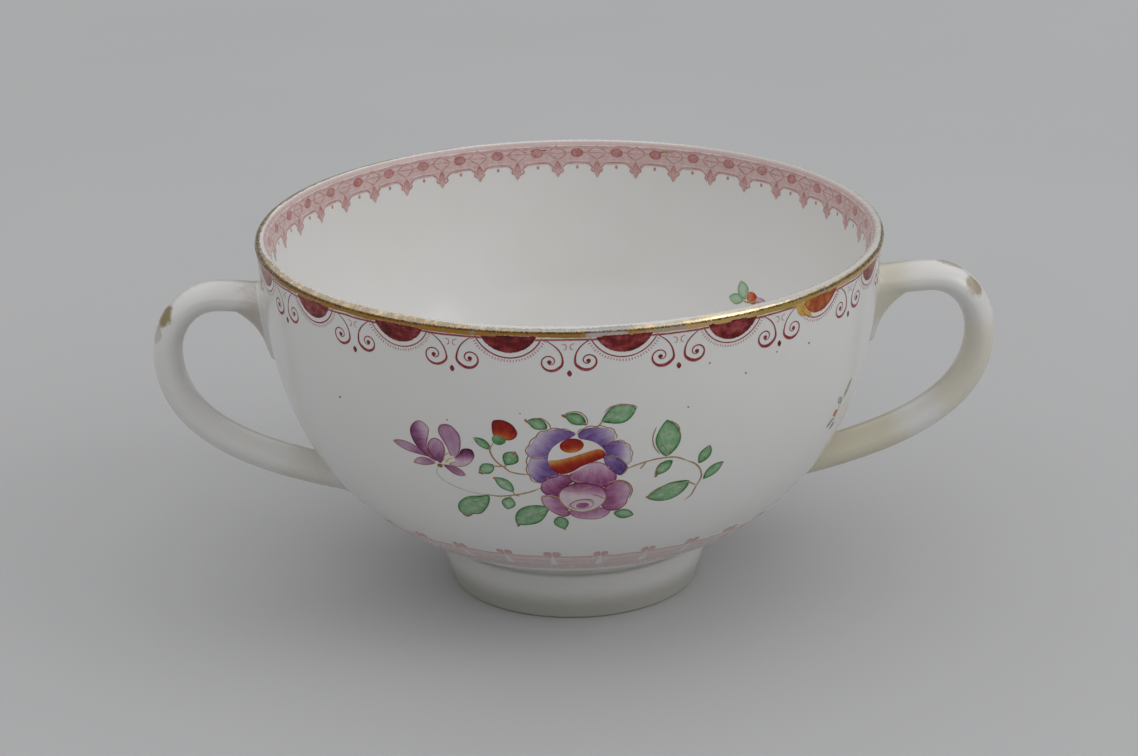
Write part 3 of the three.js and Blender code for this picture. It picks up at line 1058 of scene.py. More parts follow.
    def wall_patch(self) -> Object:
        """Returns the strip of wall behind the handle, which the remesh needs for a soft joint."""
        skin = [self.wall.outer(t) for t in spread(self.patch_low, 1, self.patch_rows)]
        back = [self.wall.outer(t, -self.patch_depth) for t in spread(1, self.patch_low, self.patch_rows)]
        patch = draw_line([Vector((place.x, 0, place.y)) * MM for place in (*skin, *back, skin[0])])
        merge_doubles()
        bpy.ops.mesh.edge_face_add()
        half_angle = self.patch_half_angle
        bpy.ops.transform.rotate(
            value=half_angle, orient_axis="Z", orient_type="GLOBAL", center_override=(0, 0, 0)
        )
        bpy.ops.mesh.spin(steps=self.patch_steps, angle=-2 * half_angle, center=(0, 0, 0), axis=(0, 0, 1))
        close_shell()
        angles = [math.atan2(vertex.co.y, vertex.co.x) for vertex in patch.data.vertices]
        patch.data.transform(Matrix.Rotation(-(min(angles) + max(angles)) / 2, 4, "Z"))
        return patch

    def melt(self, parts: list[Object]) -> Object:
        """Joins the clay parts into one skin and softens the corner that they make with the wall."""
        select_only(parts[0])
        for part in parts[1:]:
            part.select_set(True)
        bpy.ops.object.join()
        clay = bpy.context.object
        clay.data.remesh_voxel_size = self.voxel * MM
        clay.data.remesh_voxel_adaptivity = 0
        bpy.ops.object.voxel_remesh()
        near = clay.vertex_groups.new(name=self.soft_group)
        for vertex in clay.data.vertices:
            gap = self.wall.gap(vertex.co)
            near.add([vertex.index], ease(self.soft_far, self.soft_near, gap) if gap > 0 else 1, "REPLACE")
        apply_modifier(clay, "SMOOTH", factor=0.5, iterations=self.smooth_passes)
        apply_modifier(clay, "SMOOTH", factor=0.5, iterations=self.soft_passes, vertex_group=self.soft_group)
        return clay

    def slip_fillet(self, clay: Object, root: str, cutters: WallCutters, material: Material) -> Object:
        """Builds the wiped slip round one root over its solid.

        Args:
            clay: The handle's untrimmed clay, which the slip lies on.
            root: Name of the root.
            cutters: Solids that trim the slip to the wall.
            material: Its finish.

        Returns:
            The fillet, its trimmed face pressed a little into the glaze.
        """
        bead = clay.copy()
        bead.data = clay.data.copy()
        bpy.context.collection.objects.link(bead)
        apply_modifier(bead, "DISPLACE", strength=self.slip_skin * MM, mid_level=0)
        cutters.trim(bead, cutters.wall, "DIFFERENCE")
        cutters.trim(bead, cutters.near_root[root], "INTERSECT")
        for vertex in bead.data.vertices:
            if self.wall.gap(vertex.co) < self.seat_gap:
                inwards = Vector((vertex.co.x, vertex.co.y, 0)).normalized()
                vertex.co -= inwards * self.seat_depth * MM
        self.settle(bead, f"slip_fillet_{self.side}_{root}", material)
        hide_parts(f"slip_bead_{self.side}_{root}")
        return bead

    def settle(self, piece: Object, name: str, material: Material) -> None:
        """Turns a trimmed piece to its side of the cup and finishes it."""
        piece.data.transform(Matrix.Rotation(self.turn, 4, "Z"))
        piece.vertex_groups.clear()
        finish_piece(piece, name, material, 60)

    def build(self, cutters: WallCutters, material: Material, slip_material: Material) -> list[Object]:
        """Builds the handle and its two slip fillets over their solids.

        Args:
            cutters: Solids that trim the clay to the wall.
            material: Glaze of the handle.
            slip_material: Glaze pooled over the slip.

        Returns:
            The handle, its upper fillet and its lower fillet.
        """
        upper = TailShape(self.upper_root_height, end_height=37.2, fillet=5, fade=3, tip=self.upper_tip)
        lower = TailShape(self.lower_root_height, end_height=11.4, fillet=1.6, fade=2, tip=1.2)
        clay = self.melt([self.strap(), self.tail(upper), self.tail(lower), self.wall_patch()])
        beads = [self.slip_fillet(clay, root, cutters, slip_material) for root in ("upper", "lower")]
        cutters.trim(clay, cutters.slip_layer, "DIFFERENCE")
        self.settle(clay, f"{self.side}_handle", material)
        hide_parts(f"handle_{self.side}")
        return [clay, *beads]


GLAZE_WHITE = 0.78


class Pigment(Enum):
    """Enamel colours, as they look at full strength on the white glaze."""

    CRIMSON = (0.27, 0.034, 0.037)
    AMBER = (0.50, 0.165, 0.025)
    YELLOW = (0.63, 0.36, 0.05)
    ROSE = (0.46, 0.20, 0.195)
    LEAF = (0.145, 0.32, 0.145)
    MOSS = (0.11, 0.18, 0.07)
    BROWN = (0.24, 0.10, 0.04)
    STEM = (0.36, 0.20, 0.08)
    LILAC = (0.23, 0.065, 0.18)
    VIOLET = (0.18, 0.10, 0.31)
    PINK = (0.28, 0.07, 0.19)
    ORANGE = (0.45, 0.05, 0.009)

    def tint(self) -> Vector:
        """Returns the share of light that comes back through the enamel, channel by channel."""
        return Vector(self.value) / GLAZE_WHITE


def smooth_line(points: Outline, reach: float, closed: bool) -> list[Vector]:
    """Draws a smooth line through a few points.

    Args:
        points: Places that the line passes.
        reach: Longest step between two points of the result.
        closed: Whether the line comes back to its start.

    Returns:
        The points of the line; a closed one doesn't repeat its start.
    """
    knots = [Vector(point) for point in points]
    count = len(knots)
    line = []
    for i in range(count if closed else count - 1):
        here, there = knots[i], knots[(i + 1) % count]
        before = knots[i - 1] if closed or i > 0 else 2 * here - there
        after = knots[(i + 2) % count] if closed or i + 2 < count else 2 * there - here
        steps = max(2, math.ceil((there - here).length / reach))
        for s in spread(0, 1, steps)[:-1]:
            bend = s * s * (2 * before - 5 * here + 4 * there - after)
            twist = s**3 * (3 * here - before - 3 * there + after)
            line.append(0.5 * (2 * here + s * (there - before) + bend + twist))
    return line if closed else [*line, knots[-1]]


def across_at(line: list[Vector], i: int) -> Vector:
    """Returns the unit direction across a line at its point i."""
    along = (line[min(i + 1, len(line) - 1)] - line[max(i - 1, 0)]).normalized()
    return Vector((-along.y, along.x))


def oval(centre: Point, half_x: float, half_y: float, tilt: float = 0.0, sides: int = 14) -> Outline:
    """Returns the outline of an oval turned by tilt degrees."""
    turn = Matrix.Rotation(math.radians(tilt), 2)
    angles = [2 * math.pi * k / sides for k in range(sides)]
    spots = [Vector((half_x * math.cos(angle), half_y * math.sin(angle))) for angle in angles]
    return tuple(tuple(Vector(centre) + turn @ spot) for spot in spots)


def blade(base: Point, tip: Point, width: float, bow: float = 0.0, widest: float = 0.5) -> Outline:
    """Returns the outline of a leaf or petal.

    Args:
        base: Where it starts.
        tip: Its point.
        width: Its greatest width.
        bow: How far its axis bows sideways, as a share of its length.
        widest: Share of its length at which it is widest.

    Returns:
        The closed outline.
    """
    start, run = Vector(base), Vector(tip) - Vector(base)
    across = Vector((-run.y, run.x))
    axis = [start + s * run + 4 * s * (1 - s) * bow * across for s in spread(0, 1, 14)]
    power = math.log(0.5) / math.log(widest)
    left, right = [], []
    for i in range(1, len(axis) - 1):
        half = 0.5 * width * math.sin(math.pi * (i / (len(axis) - 1)) ** power) ** 0.8
        left.append(tuple(axis[i] + half * across_at(axis, i)))
        right.append(tuple(axis[i] - half * across_at(axis, i)))
    return (base, *left, tip, *reversed(right))


def scallops(path: Outline, count: int, height: float) -> Outline:
    """Adds rounded bumps along a path; a negative height puts them on its other side."""
    line = smooth_line(path, 0.18, False)
    rises = [height * abs(math.sin(math.pi * count * share)) for share in spread(0, 1, len(line) - 1)]
    return tuple(tuple(line[i] + rise * across_at(line, i)) for i, rise in enumerate(rises))


def widened(points: Outline, share: float) -> Outline:
    """Returns points with their x multiplied by share, which mirrors them where it is negative."""
    return tuple((share * x, y) for x, y in points)


@dataclass(frozen=True)
class Panel:
    """Where a drawing lies on the wall: x runs along the girth and y down the wall from the shoulder."""

    wall: WallShape
    azimuth: float = 0.0
    girth_radius: float = 43.0
    side: Side = Side.OUTER
    turn: float = 0.0
    scale: float = 1.0
    pivot: float = 0.0

    def place(self, point: Vector, lift: float) -> Vector:
        """Returns the place on the cup, in metres, of a point of the drawing."""
        local = Vector((point.x, point.y - self.pivot)) * self.scale
        across = local.x * math.cos(self.turn) - local.y * math.sin(self.turn)
        down = local.x * math.sin(self.turn) + local.y * math.cos(self.turn) + self.pivot
        angle = math.radians(self.azimuth) + self.side.value * across / self.girth_radius
        return self.wall.place(self.side, angle, down, lift)

    def ring(self, drop: float, shake: float = 0.0) -> Outline:
        """Returns a line right round the wall at a drop, which the hand let waver by shake."""
        step = math.radians(2) * self.girth_radius
        return tuple((k * step, drop + shake * math.sin(1.9 * k) * math.sin(0.37 * k)) for k in range(181))


@dataclass(frozen=True)
class Coat:
    """Enamel laid flat: its pigment and how thickly it lies at its start, its end and its heart."""

    pigment: Pigment
    start: float = 1.0
    end: float = 1.0
    heart: float | None = None
    heart_depth: float = 0.8
    reach: float = 1.0
    turned: Pigment | None = None
    ink: Pigment = Pigment.BROWN
    ink_strength: float = 0.0
    crisp: bool = False


@dataclass(frozen=True)
class Brush:
    """A brush for drawn lines: its width, pigment and strength, how its ends thin and where it swells."""

    width: float
    pigment: Pigment
    strength: float = 1.0
    ends: tuple[float, float] = (0.5, 0.35)
    swell: float = 0.0
    swell_at: float = 0.46
    ribs: int = 2

    def half_width(self, share: float) -> float:
        """Returns half the line's width at a share of its length."""
        start, end = self.ends
        taper = min(lerp(start, 1, ease(0, 0.15, share)), lerp(end, 1, ease(1, 0.85, share)))
        press = 1 + self.swell * math.exp(-(((share - self.swell_at) / 0.16) ** 2))
        return 0.5 * self.width * taper * press


class EnamelSheet:
    """Painted enamel, gathered from washes and drawn lines into one thin closed piece on the wall.

    The paint is a few hundredths of a millimetre thick and follows the curved wall at every point,
    which edit-mode tools can't give, so its faces are written as a mesh and then given thickness.
    """

    LAYER_LIFT = 0.006
    THICKNESS = 0.045
    CELL = 0.45
    WASH_STEP = 0.3
    STROKE_STEP = 0.35
    FULL_COVER = 0.3
    TRAITS = ("paint", "ink", "depth", "rim", "edge", "grain")

    def __init__(self, name: str, panel: Panel, lift: float = 0.022) -> None:
        """Starts an empty sheet on a panel, whose paint stands so far off the glaze."""
        self.name = name
        self.panel = panel
        self.lift = lift
        self.places: list[Vector] = []
        self.faces: list[tuple[int, ...]] = []
        self.traits: dict[str, list[tuple[float, ...]]] = {trait: [] for trait in self.TRAITS}

    def add_point(self, point: Vector, layer: int, *traits: tuple[float, ...]) -> None:
        """Adds one vertex with what the enamel's material reads from it, in the order of TRAITS."""
        self.places.append(self.panel.place(point, self.lift + layer * self.LAYER_LIFT))
        for name, value in zip(self.TRAITS, traits):
            self.traits[name].append(value)

    @staticmethod
    def gap_to_line(points: list[Vector], line: list[Vector]) -> np.ndarray:
        """Returns each point's distance to a closed line."""
        places = np.array([tuple(point) for point in points])[:, None, :]
        starts = np.array([tuple(point) for point in line])[None, :, :]
        spans = np.roll(starts, -1, axis=1) - starts
        share = ((places - starts) * spans).sum(-1) / np.maximum((spans**2).sum(-1), 1e-12)
        nearest = starts + np.clip(share, 0, 1)[..., None] * spans
        return np.sqrt(((places - nearest) ** 2).sum(-1)).min(axis=1)

    def cut_in_cells(self, sheet: bmesh.types.BMesh) -> None:
        """Cuts a flat sheet along a square grid, so that it can follow the wall."""
        for normal in (Vector((1, 0, 0)), Vector((0, 1, 0))):
            reaches = [normal.dot(vertex.co) / self.CELL for vertex in sheet.verts]
            for k in range(math.ceil(min(reaches)), math.ceil(max(reaches))):
                geometry = [*sheet.verts, *sheet.edges, *sheet.faces]
                spot = normal * k * self.CELL
                bmesh.ops.bisect_plane(sheet, geom=geometry, dist=1e-4, plane_co=spot, plane_no=normal)

    def wash(
        self,
        outline: Outline,
        coat: Coat,
        run: tuple[Point, Point] | None = None,
        layer: int = 0,
        smooth: bool = True,
    ) -> None:
        """Adds a flat patch of enamel.

        Args:
            outline: The patch's closed outline.
            coat: How the enamel is laid.
            run: The places between which its strength runs from start to end.
            layer: Higher layers lie over lower ones.
            smooth: Whether the outline is rounded between its points.
        """
        border = smooth_line(outline, self.WASH_STEP, True) if smooth else [Vector(p) for p in outline]
        sheet = bmesh.new()
        sheet.faces.new([sheet.verts.new((point.x, point.y, 0)) for point in border])
        self.cut_in_cells(sheet)
        sheet.verts.index_update()
        flat = [vertex.co.xy for vertex in sheet.verts]
        start, end = (Vector(point) for point in (run or (outline[0], outline[len(outline) // 2])))
        span = end - start
        along = span.normalized()
        pale, deep = coat.pigment.tint(), (coat.turned or coat.pigment).tint()
        ink = (*coat.ink.tint(), coat.ink_strength)
        first = len(self.places)
        for point, rim in zip(flat, self.gap_to_line(flat, border)):
            local = point - start
            share = ease(0, coat.reach, local.dot(span) / span.length_squared)
            depth = lerp(coat.start, coat.end, share)
            if coat.heart is not None:
                depth = lerp(depth, coat.heart, ease(0.1, coat.heart_depth, rim))
            edge = rim + self.FULL_COVER * coat.crisp
            grain = (local.x * along.y - local.y * along.x, local.dot(along), 0)
            self.add_point(point, layer, (*pale.lerp(deep, share), 1), ink, (depth,), (rim,), (edge,), grain)
        for face in sheet.faces:
            self.faces.append(tuple(first + vertex.index for vertex in face.verts))
        sheet.free()

    def leaf(
        self, base: Point, tip: Point, width: float, coat: Coat, bow: float = 0.0, widest: float = 0.5
    ) -> None:
        """Adds a leaf whose strength runs from its base to its tip."""
        self.wash(blade(base, tip, width, bow, widest), coat, (base, tip), smooth=False)

    def stroke(self, path: Outline, brush: Brush, layer: int = 0) -> None:
        """Adds a drawn line, as a ribbon that is full in its middle and thins at its edges.

        Args:
            path: Places that the line passes.
            brush: The brush that draws it.
            layer: Higher layers lie over lower ones.
        """
        line = smooth_line(path, self.STROKE_STEP, False)
        lengths = [0]
        for here, there in zip(line, line[1:]):
            lengths.append(lengths[-1] + (there - here).length)
        first = len(self.places)
        rows = brush.ribs + 1
        paint, depth, rim = (*brush.pigment.tint(), 1), (brush.strength,), (self.FULL_COVER,)
        for i, (point, length) in enumerate(zip(line, lengths)):
            aside = across_at(line, i) * brush.half_width(length / lengths[-1])
            for hand in spread(-1, 1, brush.ribs):
                edge = (self.FULL_COVER * (1 - abs(hand)),)
                grain = (hand * 0.2, length, 0)
                self.add_point(point + hand * aside, layer, paint, (1, 1, 1, 0), depth, rim, edge, grain)
        for i in range(len(line) - 1):
            for corner in range(first + rows * i, first + rows * i + brush.ribs):
                self.faces.append((corner, corner + 1, corner + rows + 1, corner + rows))

    def build(self, material: Material) -> Object:
        """Makes the sheet a thin closed piece in its enamel."""
        mesh = bpy.data.meshes.new(self.name)
        mesh.from_pydata([tuple(place) for place in self.places], [], self.faces)
        kinds = {4: ("FLOAT_COLOR", "color"), 1: ("FLOAT", "value"), 3: ("FLOAT_VECTOR", "vector")}
        for name, values in self.traits.items():
            kind, key = kinds[len(values[0])]
            layer = mesh.attributes.new(name, kind, "POINT")
            layer.data.foreach_set(key, np.array(values, dtype=np.float32).ravel())
        piece = bpy.data.objects.new(self.name, mesh)
        bpy.context.collection.objects.link(piece)
        self.face_off_wall(mesh)
        apply_modifier(piece, "SOLIDIFY", thickness=self.THICKNESS * MM, offset=-1)
        return finish_piece(piece, self.name, material, 60)

    def face_off_wall(self, mesh: Mesh) -> None:
        """Turns each face that looks into the wall."""
        sheet = bmesh.new()
        sheet.from_mesh(mesh)
        sheet.normal_update()
        hand = self.panel.side.value
        wrong = [f for f in sheet.faces if hand * f.normal.xy.dot(f.calc_center_median().xy) < 0]
        bmesh.ops.reverse_faces(sheet, faces=wrong)
        sheet.to_mesh(mesh)
        sheet.free()


@dataclass(frozen=True)
class EnamelFinish:
    """Fired overglaze enamel: it tints the glaze as thickly as it lies, blotched, streaked and ragged."""

    name: str
    blotch: float = 0.15
    blotch_scale: float = 1.0
    streak: float = 0.2
    pooling: float = 0.2
    streak_across: float = 1.6
    streak_along: float = 0.35
    ragged: float = 0.12
    ink_width: float = 0.15
    mirror: float = 0.3
    gloss: float = 0.18
    dull: float = 0.30

    def material(self, groups: Groups) -> Material:
        """Builds the enamel's node material, which reads the sheet's own attributes.

        Args:
            groups: The shared node groups.

        Returns:
            The material.
        """
        bench = MaterialBench(self.name)
        place = bench.place_mm()
        traits = {name: bench.add("Attribute", attribute_name=name).outputs for name in EnamelSheet.TRAITS}
        glaze = GlazeFinish("plain")
        colour = glaze.tint(bench, groups, place)["colour"]
        shake = bench.shake(place, 3.5, 4, 0.7)
        cover = bench.step(bench.more(traits["edge"]["Fac"], shake, self.ragged), 0, 0.1)
        blotch = bench.noise(place, self.blotch_scale, 4, 0.6)
        grain = {0: traits["grain"]["Vector"], 1: (self.streak_across, self.streak_along, 1)}
        streak = bench.noise(bench.vector("MULTIPLY", grain).outputs["Vector"], 1, 3, 0.6)
        rim = bench.more(traits["rim"]["Fac"], shake, 0.2)
        depth = bench.times(traits["depth"]["Fac"], cover)
        for share in (
            bench.step(blotch, 0.3, 0.7, 1 - self.blotch, 1 + self.blotch),
            bench.step(streak, 0.3, 0.7, 1 - self.streak, 1 + self.streak),
            bench.step(rim, 0.34, 0.1, 1, 1 + self.pooling),
        ):
            depth = bench.times(depth, share)
        line = bench.step(rim, self.ink_width * 1.3, self.ink_width * 0.6)
        line = bench.times(line, traits["ink"]["Alpha"])
        for tint, strength in ((traits["paint"]["Color"], depth), (traits["ink"]["Color"], line)):
            layer = bench.add("Gamma", {"Color": tint, "Gamma": strength}).outputs["Color"]
            colour = bench.blend(1, colour, layer, "MULTIPLY")
        skin = glaze.skin(bench, groups, place)
        relief = bench.more(skin["height"], bench.noise(place, 2.4, 4, 0.7), 0.008)
        dull = bench.step(skin["dull"], 0, 1, self.gloss, self.dull)
        channels = {"Base Color": colour, "Specular IOR Level": self.mirror, "Roughness": dull}
        return bench.dress(bench.more(relief, depth, 0.01), channels)


@dataclass
class OuterBorder:
    """The crimson border under the gilt line: medallions, scrolls and dots, 18 times round."""

    wall: WallShape
    repeats: int = 18
    front_dots: tuple[float, ...] = (-63.3, -42.4, -22.6, -2.6, 16.3, 36.4, 56.6)
    girth_radius: float = 47.6
    line_drop: float = 0.42
    gold_edge: float = 0.05
    red_line: float = 0.63
    half_width: float = 3.95
    depth: float = 2.5
    arc_half_width: float = 4.7
    arc_depth: float = 3.1
    tick_gap: float = 0.40
    tick_reach: float = 1.12
    amber_after: float = 36.4
    scroll_middle: Point = (-2.68, 3.9)
    scroll_radius: float = 1.9
    scroll_turns: Point = (math.radians(11), math.radians(520))
    seed: int = 18

    DIAMOND = ((0, -0.5), (0.36, 0.05), (0.02, 0.5), (-0.36, -0.02))
    CURL = ((-0.9, 1.25), (-0.35, 1.4), (-0.3, 2), (-0.7, 2.2))
    SPILL = ((-6.6, 0.1), (-5.4, 0.9), (-4.7, 2), (-3.7, 2.5), (-1.6, 3.2), (-2.6, 1.6), (-3.9, 0.1))

    def __post_init__(self) -> None:
        """Starts the border's four sheets, and the small differences that the hand makes."""
        self.chance = random.Random(self.seed)
        self.round = Panel(self.wall, 0, self.girth_radius)
        names = ("medallions", "arcs_and_line", "scrolls_and_dots", "fringe")
        self.sheets = [EnamelSheet(f"border_{name}", self.round) for name in names]
        self.medallions, self.arcs, self.scrolls, self.fringe = self.sheets

    def move_to(self, azimuth: float, tilt: float) -> None:
        """Moves the drawing to an azimuth, turned by up to tilt."""
        panel = Panel(self.wall, azimuth, self.girth_radius, turn=self.chance.uniform(-tilt, tilt))
        for sheet in self.sheets:
            sheet.panel = panel

    def dots(self) -> list[float]:
        """Returns the azimuth of each dot, in degrees: the seven in front as painted, the rest even."""
        first, last = self.front_dots[0], self.front_dots[-1]
        rest = self.repeats - len(self.front_dots)
        step = (360 + first - last) / (rest + 1)
        chance = random.Random(self.seed)
        return [*self.front_dots, *[last + step * (k + 1) + chance.uniform(-0.5, 0.5) for k in range(rest)]]

    def hanging(self, half_width: float, depth: float) -> Point:
        """Returns the radius of an arc that hangs from the line, and how far down its centre lies."""
        radius = (half_width**2 + depth**2) / (2 * depth)
        return radius, self.line_drop + depth - radius

    def hanging_arc(self, half_width: float, depth: float, steps: int) -> list[Point]:
        """Returns an arc that hangs from the line, from left to right."""
        radius, middle = self.hanging(half_width, depth)
        reach = math.asin(half_width / radius)
        return [(radius * math.sin(a), middle + radius * math.cos(a)) for a in spread(-reach, reach, steps)]

    def medallion(self, amber: bool) -> None:
        """Paints one half-round medallion; the amber one has a yellow spill at its left."""
        uniform = self.chance.uniform
        arc = self.hanging_arc(self.half_width, self.depth * uniform(0.94, 1.05), 24)
        outline = ((arc[0][0] - 0.1, self.gold_edge), *arc, (arc[-1][0] + 0.1, self.gold_edge))
        run = ((-self.half_width, 1.4), (self.half_width, 1.4 + uniform(-0.5, 0.5)))
        coat = Coat(Pigment.CRIMSON, uniform(1.1, 1.4), uniform(1.1, 1.4))
        if amber:
            coat = Coat(Pigment.AMBER, 1.3, 1.7)
            self.medallions.wash(self.SPILL, Coat(Pigment.YELLOW, 1.1, 0.6), ((-3, 1.8), (-6.4, 0.4)))
        self.medallions.wash(outline, coat, run, 1, False)

    def scroll(self) -> Outline:
        """Returns the path of a scroll left of its dot: it leaves the line, sweeps out and curls in."""
        x, y = self.scroll_middle
        size = self.chance.uniform(0.94, 1.05)
        path = [(-3.06, self.red_line), (-1.74, 1.7), (-1, 2.9)]
        for share in spread(0, 1, 17):
            angle = lerp(*self.scroll_turns, share)
            reach = size * lerp(self.scroll_radius, 0.3, share**0.75)
            path.append((x + reach * math.cos(angle), y + reach * math.sin(angle) * 0.94))
        return tuple(path)

    def between(self) -> None:
        """Paints what stands between two medallions: two scrolls, a faint squiggle and a dot."""
        uniform = self.chance.uniform
        for hand in (1, -1):
            brush = Brush(uniform(0.19, 0.24), Pigment.CRIMSON, 0.95, (0.7, 0.55), uniform(1, 1.8))
            self.scrolls.stroke(widened(self.scroll(), hand), brush, 1)
            blob = oval((-hand * 2.72, 3.95), 0.32, 0.3, sides=10)
            self.scrolls.wash(blob, Coat(Pigment.CRIMSON, crisp=True), layer=2)
            self.fringe.stroke(widened(self.CURL, hand), Brush(0.17, Pigment.CRIMSON, 0.4))
        drop = uniform(5.6, 5.8)
        diamond = tuple((x, y + drop) for x, y in self.DIAMOND)
        self.scrolls.wash(diamond, Coat(Pigment.CRIMSON, 1.1, 1, crisp=True))

    def ticks(self) -> None:
        """Paints the fringe of short ticks outside an arc."""
        radius, middle = self.hanging(self.arc_half_width, self.arc_depth)
        count = round(2 * self.tick_reach * radius / self.tick_gap)
        brush = Brush(0.17, Pigment.CRIMSON, 0.45, (0.9, 0.7))
        for angle in spread(-self.tick_reach, self.tick_reach, count):
            ends = radius + self.chance.uniform(0.30, 0.38), radius + self.chance.uniform(0.62, 0.76)
            tick = tuple((r * math.sin(angle), middle + r * math.cos(angle)) for r in ends)
            self.fringe.stroke(tick, brush)

    def build(self, material: Material, line_material: Material) -> list[Object]:
        """Builds the border as four sheets.

        Args:
            material: Blotched enamel of the medallions.
            line_material: Enamel of the drawn lines.

        Returns:
            The medallions, the arcs with their line, the scrolls and the fringes.
        """
        dots = self.dots()
        for azimuth, following in zip(dots, [*dots[1:], dots[0] + 360]):
            self.move_to(azimuth, 0.03)
            self.between()
            self.move_to((azimuth + following) / 2, 0.02)
            self.medallion(azimuth == self.amber_after)
            arc = tuple(self.hanging_arc(self.arc_half_width, self.arc_depth, 14))
            self.arcs.stroke(arc, Brush(self.chance.uniform(0.21, 0.26), Pigment.CRIMSON, 0.85, (0.9, 0.9)))
            self.ticks()
        self.arcs.panel = self.round
        self.arcs.stroke(self.round.ring(self.red_line, 0.06), Brush(0.34, Pigment.CRIMSON, 0.75, (1, 1)))
        return [self.medallions.build(material), *[sheet.build(line_material) for sheet in self.sheets[1:]]]


@dataclass
class LaceBorder:
    """The rose lace inside the rim: a pale band with knots and trellis, scallops and hanging leaves."""

    wall: WallShape
    repeats: int = 43
    girth_radius: float = 45.6
    lift: float = 0.04
    top: float = 0.02
    bottom: float = 3.0
    knot_drop: float = 1.3
    leaf_tip: float = 5.5
    start_azimuth: float = -175.6
    rings: tuple[Spot, ...] = ((0.45, 0.7, 0.5), (1.3, 0.45, 0.55), (3.0, 0.6, 0.5))
    seed: int = 43

    TRELLIS = (
        ((1, 0.2), (0.55, 1.3), (1, 2.5)),
        ((0, 2.85), (0.5, 3.05), (0.84, 3.9)),
        ((0.93, 4.7), (0.72, 4.3), (0.78, 3.8)),
    )

    def repeat(self, sheet: EnamelSheet, half: float, chance: random.Random) -> None:
        """Paints one repeat between two hanging leaves.

        Args:
            sheet: Sheet of the drawn lace.
            half: Half the repeat's width.
            chance: Source of the hand's small differences.
        """
        tip = self.leaf_tip + chance.uniform(-0.15, 0.15)
        veil = ((-1.5, 2.8), (1.5, 2.8), (0.7, 4.2), (0, tip - 0.6), (-0.7, 4.2))
        veil = tuple((x + half, y) for x, y in veil)
        sheet.wash(veil, Coat(Pigment.ROSE, 0.36, 0.22, crisp=True), ((half, 2.8), (half, tip)), 2)
        leaf = blade((half, 2.6), (half, tip), 1.2)
        sheet.wash(leaf, Coat(Pigment.ROSE, 0.75, 0.4, crisp=True), layer=3, smooth=False)
        knot = Coat(Pigment.ROSE, chance.uniform(0.7, 1), chance.uniform(0.7, 1), crisp=True)
        sheet.wash(oval((0, self.knot_drop), 1.05, 0.75, sides=12), knot, layer=3)
        for hand in (-1, 1):
            for path in self.TRELLIS:
                sheet.stroke(widened(path, hand * half), Brush(0.34, Pigment.ROSE, 0.7, (0.8, 0.6)), 4)
        sheet.wash(oval((0, 3.7), 0.25, 0.32, sides=8), Coat(Pigment.ROSE, 0.6, 0.6, crisp=True))

    def build(self, material: Material) -> list[Object]:
        """Builds the band and the drawn lace over it."""
        chance = random.Random(self.seed)
        half = math.pi * self.girth_radius / self.repeats
        panel = Panel(self.wall, 0, self.girth_radius, Side.INNER)
        band = EnamelSheet("lace_band", panel, self.lift)
        lace = EnamelSheet("lace_knots_and_leaves", panel, self.lift)
        for k in range(self.repeats):
            azimuth = self.start_azimuth + 360 * k / self.repeats
            tilt = chance.uniform(-0.03, 0.03)
            lace.panel = Panel(self.wall, azimuth, self.girth_radius, Side.INNER, tilt)
            self.repeat(lace, half, chance)
        wide = Brush(self.bottom - self.top, Pigment.ROSE, 0.36, (1, 1), ribs=8)
        band.stroke(panel.ring((self.top + self.bottom) / 2), wide)
        lace.panel = panel
        for drop, width, strength in self.rings:
            lace.stroke(panel.ring(drop, 0.1), Brush(width, Pigment.ROSE, strength, (1, 1)), 1)
        return [band.build(material), lace.build(material)]


@dataclass
class FootBand:
    """The rose band low on the belly: drawn lines, a pale wash and small crenels over white tents."""

    wall: WallShape
    repeats: int = 31
    girth_radius: float = 34.0
    top: float = 42.3
    bottom: float = 49.0
    tent_foot: float = 46.0
    rings: tuple[Spot, ...] = ((42.3, 0.7, 0.45), (44.2, 0.5, 0.36), (46.4, 0.5, 0.36), (48.8, 0.8, 0.36))
    start_azimuth: float = -42.3
    seed: int = 31

    def build(self, material: Material) -> list[Object]:
        """Builds the wash and the drawn lines over it."""
        panel = Panel(self.wall, 0, self.girth_radius)
        band = EnamelSheet("foot_band_wash", panel)
        lines = EnamelSheet("foot_band_lines", panel)
        chance = random.Random(self.seed)
        top, foot = self.top, self.tent_foot
        tent = ((0, top - 0.2), (0.34, top + 1.6), (0.5, foot), (-0.5, foot), (-0.34, top + 1.6))
        for k in range(self.repeats):
            lines.panel = Panel(self.wall, self.start_azimuth + 360 * k / self.repeats, self.girth_radius)
            wide = 1.15 + chance.uniform(-0.2, 0.2)
            lines.wash(tent, Coat(Pigment.ROSE, 0.05, 0, crisp=True), ((0, top), (0, foot)), 3)
            crenel = ((0.05, top - 0.1), (0.12, top - 1.8), (wide, top - 1.7), (wide * 0.9, top - 0.1))
            for hand in (-1, 1):
                outline = widened(crenel, hand)
                lines.wash(outline, Coat(Pigment.ROSE, 0.55, 0.4), ((0, top - 1.8), (0, top)), 2)
        wide = Brush(self.bottom - top + 0.6, Pigment.ROSE, 0.2, (1, 1), ribs=10)
        band.stroke(panel.ring((top + self.bottom) / 2), wide)
        lines.panel = panel
        for drop, width, strength in self.rings:
            lines.stroke(panel.ring(drop, 0.12), Brush(width, Pigment.ROSE, strength, (1, 1)), 1)
        return [band.build(material), lines.build(material)]


@dataclass(frozen=True)
class Petal:
    """One petal as painted: its outline, the run that its strength follows, both strengths and its layer."""

    outline: Outline
    run: tuple[Point, Point]
    start: float
    end: float
    layer: int = 1


